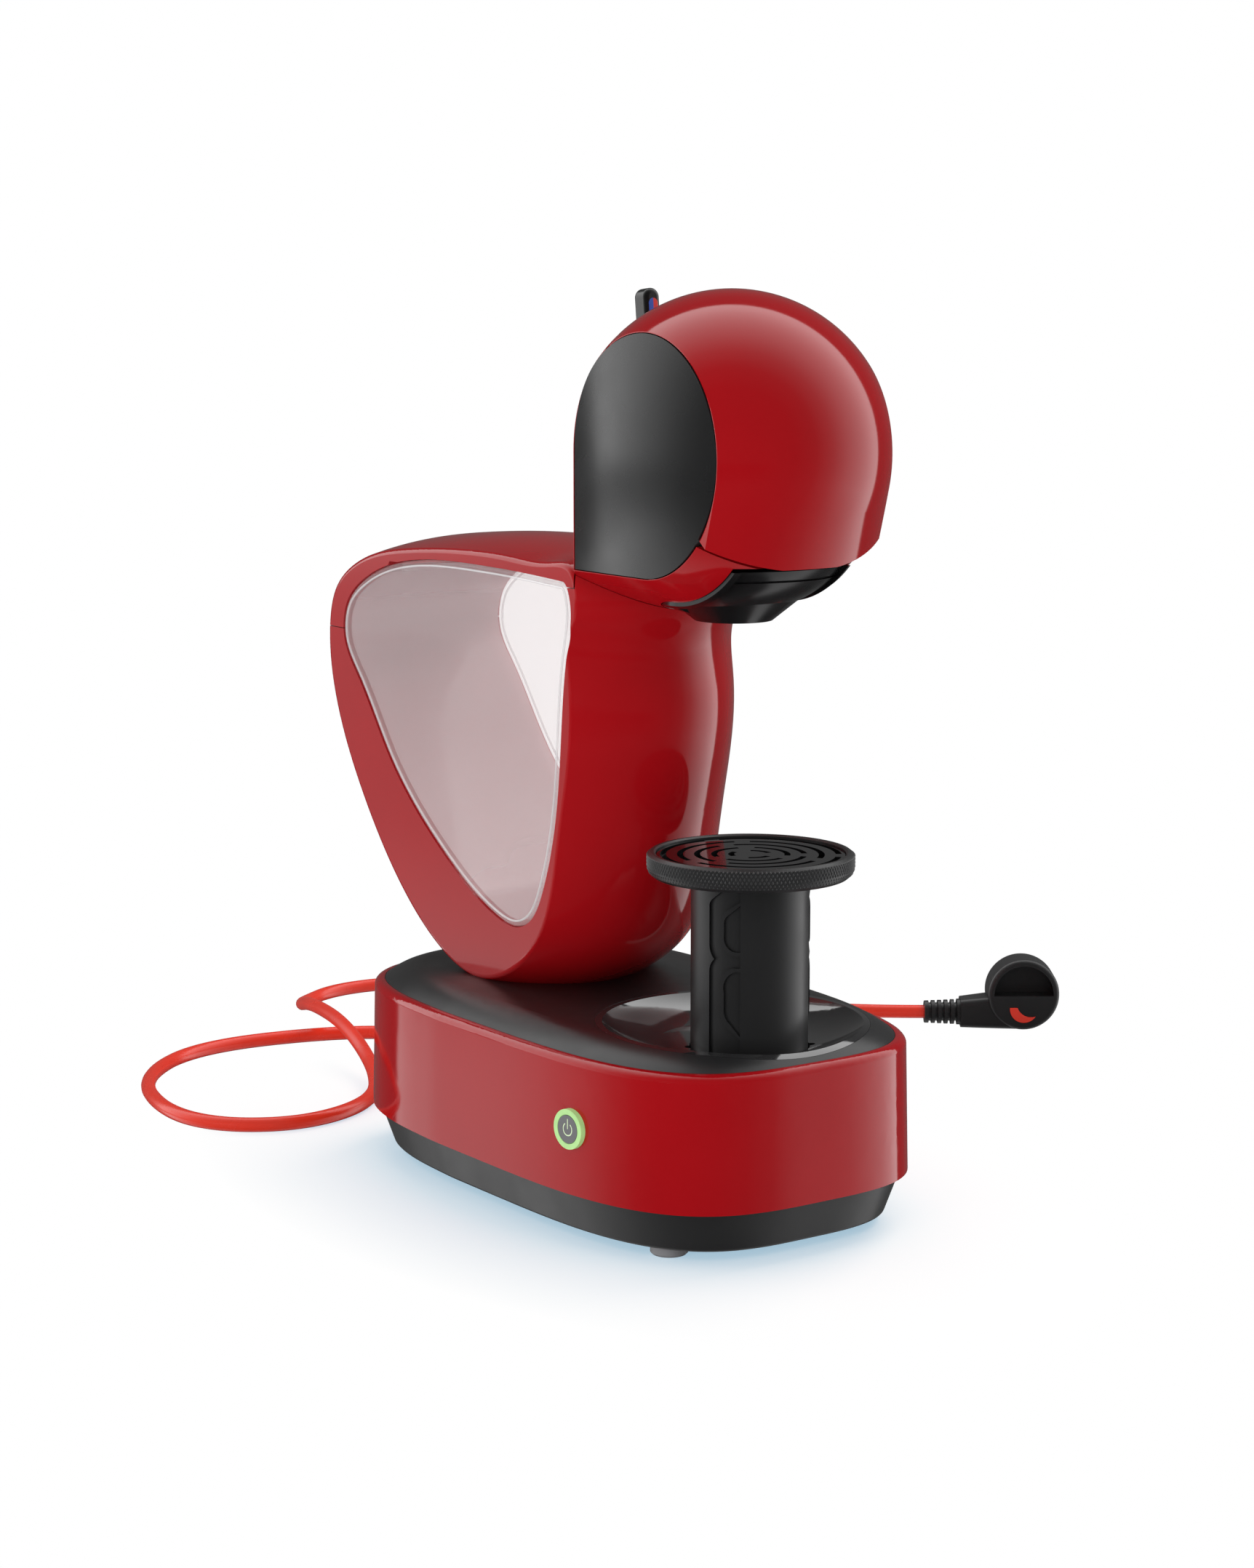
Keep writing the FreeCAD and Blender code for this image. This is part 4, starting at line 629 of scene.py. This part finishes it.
def backdrop(tree, colour, strength):
    """Background of one colour and strength."""
    node = tree.nodes.new("ShaderNodeBackground")
    node.inputs["Color"].default_value = (*colour, 1.0)
    node.inputs["Strength"].default_value = strength
    return node


# Studio cards, seen in reflections only: a broad ring round a fixed axis, brightest at its sharp inner edge

SKY_STRENGTH = 0.72
SEEN_STRENGTH = 1.0
CARD_AXIS = (0.5996, 0.7980, -0.0605)
CARD_STRENGTH = 2.25

# Angle from the axis in degrees, and the share of the strength there

CARD_SHADES = ((180.0, 0.02), (134.0, 0.03), (118.0, 0.08), (104.0, 0.25), (89.0, 0.57), (75.0, 0.80),
               (62.0, 1.0), (54.6, 1.0), (53.6, 0.04), (0.0, 0.05))

# Dimmer places on the cards, by the X and Z of a ray's direction: toward the floor, and in a band at the left
# The band's rows each give a change of the dimming, and the Z where it starts and where it is complete

LEFT_REACH = (0.0, -0.4)
LEFT_BAND = ((0.75, -0.06, -0.1), (-0.25, -0.17, -0.22), (-0.5, -0.26, -0.32))
LOW_CARD_REACH = (-0.3, -0.7)
LOW_CARD_DIM = 0.65

world = bpy.data.worlds.new("surround")
bpy.context.scene.world = world
world.use_nodes = True
sky_tree = world.node_tree
sky = sky_tree.nodes["Background"]
sky.inputs["Color"].default_value = (*WHITE, 1.0)
sky.inputs["Strength"].default_value = SKY_STRENGTH
white = backdrop(sky_tree, WHITE, SEEN_STRENGTH)
cards = backdrop(sky_tree, WHITE, CARD_STRENGTH)

heading = sky_tree.nodes.new("ShaderNodeTexCoord").outputs["Generated"]
ring_shade = sky_tree.nodes.new("ShaderNodeValToRGB")
stops = ring_shade.color_ramp.elements
for angle, level in CARD_SHADES:
    position = 0.5 + 0.5 * math.cos(math.radians(angle))
    if angle == 180.0:
        stop = stops[0]
    elif angle == 0.0:
        stop = stops[-1]
    else:
        stop = stops.new(position)
    stop.position = position
    stop.color = (level, level, level, 1.0)
facing = spread(sky_tree, along(sky_tree, heading, CARD_AXIS), 0.0, 1.0, -1.0, 1.0)
sky_tree.links.new(facing, ring_shade.inputs["Fac"])
sky_tree.links.new(ring_shade.outputs["Color"], cards.inputs["Color"])

compass = sky_tree.nodes.new("ShaderNodeSeparateXYZ")
sky_tree.links.new(heading, compass.inputs["Vector"])
ray_x = compass.outputs["X"]
ray_z = compass.outputs["Z"]
leftward = spread(sky_tree, ray_x, 0.0, 1.0, *LEFT_REACH)
onset, easing, ending = [spread(sky_tree, ray_z, 0.0, *row) for row in LEFT_BAND]
band_dim = arithmetic(sky_tree, "ADD", arithmetic(sky_tree, "ADD", onset, easing), ending)
left_share = arithmetic(sky_tree, "SUBTRACT", 1.0, arithmetic(sky_tree, "MULTIPLY", leftward, band_dim))
low_strength = CARD_STRENGTH * (1.0 - LOW_CARD_DIM)
floorward = spread(sky_tree, ray_z, CARD_STRENGTH, low_strength, *LOW_CARD_REACH)
sky_tree.links.new(arithmetic(sky_tree, "MULTIPLY", left_share, floorward), cards.inputs["Strength"])

glossy = sky_tree.nodes.new("ShaderNodeLightPath").outputs["Is Glossy Ray"]
room = chosen(sky_tree, glossy, sky.outputs["Background"], cards.outputs["Background"])
surround = chosen(sky_tree, seen_directly(sky_tree), room, white.outputs["Background"])
sky_tree.links.new(surround, sky_tree.nodes["World Output"].inputs["Surface"])

# Floor: a pale matte floor for the object's light; the camera sees a tinted shadow that fades to white
# The fade runs between two multiples of the base's own half sizes

FLOOR_HALF = 6.0
FLOOR_COLOUR = (0.82, 0.83, 0.85)
SHADOW_TINT = (0.33, 0.50, 0.62)
FADE_REACH = (1.05, 2.0)
base_low, base_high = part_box("base_band")
base_middle = (base_low + base_high) / 2.0
base_half = (base_high - base_low) / 2.0

floor_mat, floor_tree, floor_shader = material("floor")
floor_shader.inputs["Base Color"].default_value = (*FLOOR_COLOUR, 1.0)
floor_shader.inputs["Roughness"].default_value = 1.0
floor_shader.inputs["Specular IOR Level"].default_value = 0.0
lit_share = floor_tree.nodes.new("ShaderNodeBsdfDiffuse")
lit_share.inputs["Color"].default_value = (*[1.0 - c for c in SHADOW_TINT], 1.0)
own_share = floor_tree.nodes.new("ShaderNodeEmission")
own_share.inputs["Color"].default_value = (*SHADOW_TINT, 1.0)
near_floor = floor_tree.nodes.new("ShaderNodeAddShader")
floor_tree.links.new(lit_share.outputs["BSDF"], near_floor.inputs[0])
floor_tree.links.new(own_share.outputs["Emission"], near_floor.inputs[1])
far_floor = floor_tree.nodes.new("ShaderNodeEmission")
far_floor.inputs["Color"].default_value = (*WHITE, 1.0)
spot = floor_tree.nodes.new("ShaderNodeTexCoord")
footing = floor_tree.nodes.new("ShaderNodeMapping")
footing.vector_type = "TEXTURE"
footing.inputs["Location"].default_value = (base_middle.x, base_middle.y, 0.0)
footing.inputs["Scale"].default_value = (base_half.x, base_half.y, 1.0)
floor_tree.links.new(spot.outputs["Object"], footing.inputs["Vector"])
distance = floor_tree.nodes.new("ShaderNodeVectorMath")
distance.operation = "LENGTH"
floor_tree.links.new(footing.outputs["Vector"], distance.inputs[0])
fade = spread(floor_tree, distance.outputs["Value"], 0.0, 1.0, *FADE_REACH)
seen_floor = chosen(floor_tree, fade, near_floor.outputs["Shader"], far_floor.outputs["Emission"])
whole_floor = chosen(floor_tree, seen_directly(floor_tree), floor_shader.outputs["BSDF"], seen_floor)
floor_tree.links.new(whole_floor, floor_tree.nodes["Material Output"].inputs["Surface"])

floor_form = bmesh.new()
bmesh.ops.create_grid(floor_form, x_segments=1, y_segments=1, size=FLOOR_HALF)
floor = shown("floor", meshed("floor", floor_form), floor_mat)
floor.visible_glossy = False

# Lamps: sizes in metres, power in watts

LAMP_AIM = Vector((0.0, -0.03, 0.2))


def softbox(name, place, width, height, power):
    """Rectangular lamp turned to the aim point; the studio cards stand for it in reflections."""
    lamp = bpy.data.lights.new(name, "AREA")
    lamp.shape = "RECTANGLE"
    lamp.size = width
    lamp.size_y = height
    lamp.energy = power
    holder = bpy.data.objects.new(name, lamp)
    holder.location = place
    holder.rotation_euler = (LAMP_AIM - Vector(place)).to_track_quat("-Z", "Y").to_euler()
    holder.visible_glossy = False
    bpy.context.collection.objects.link(holder)


softbox("left", place=(-1.9, -0.3, 0.25), width=1.2, height=0.5, power=10.0)
softbox("right", place=(1.5, 0.3, 1.6), width=1.2, height=1.2, power=26.0)
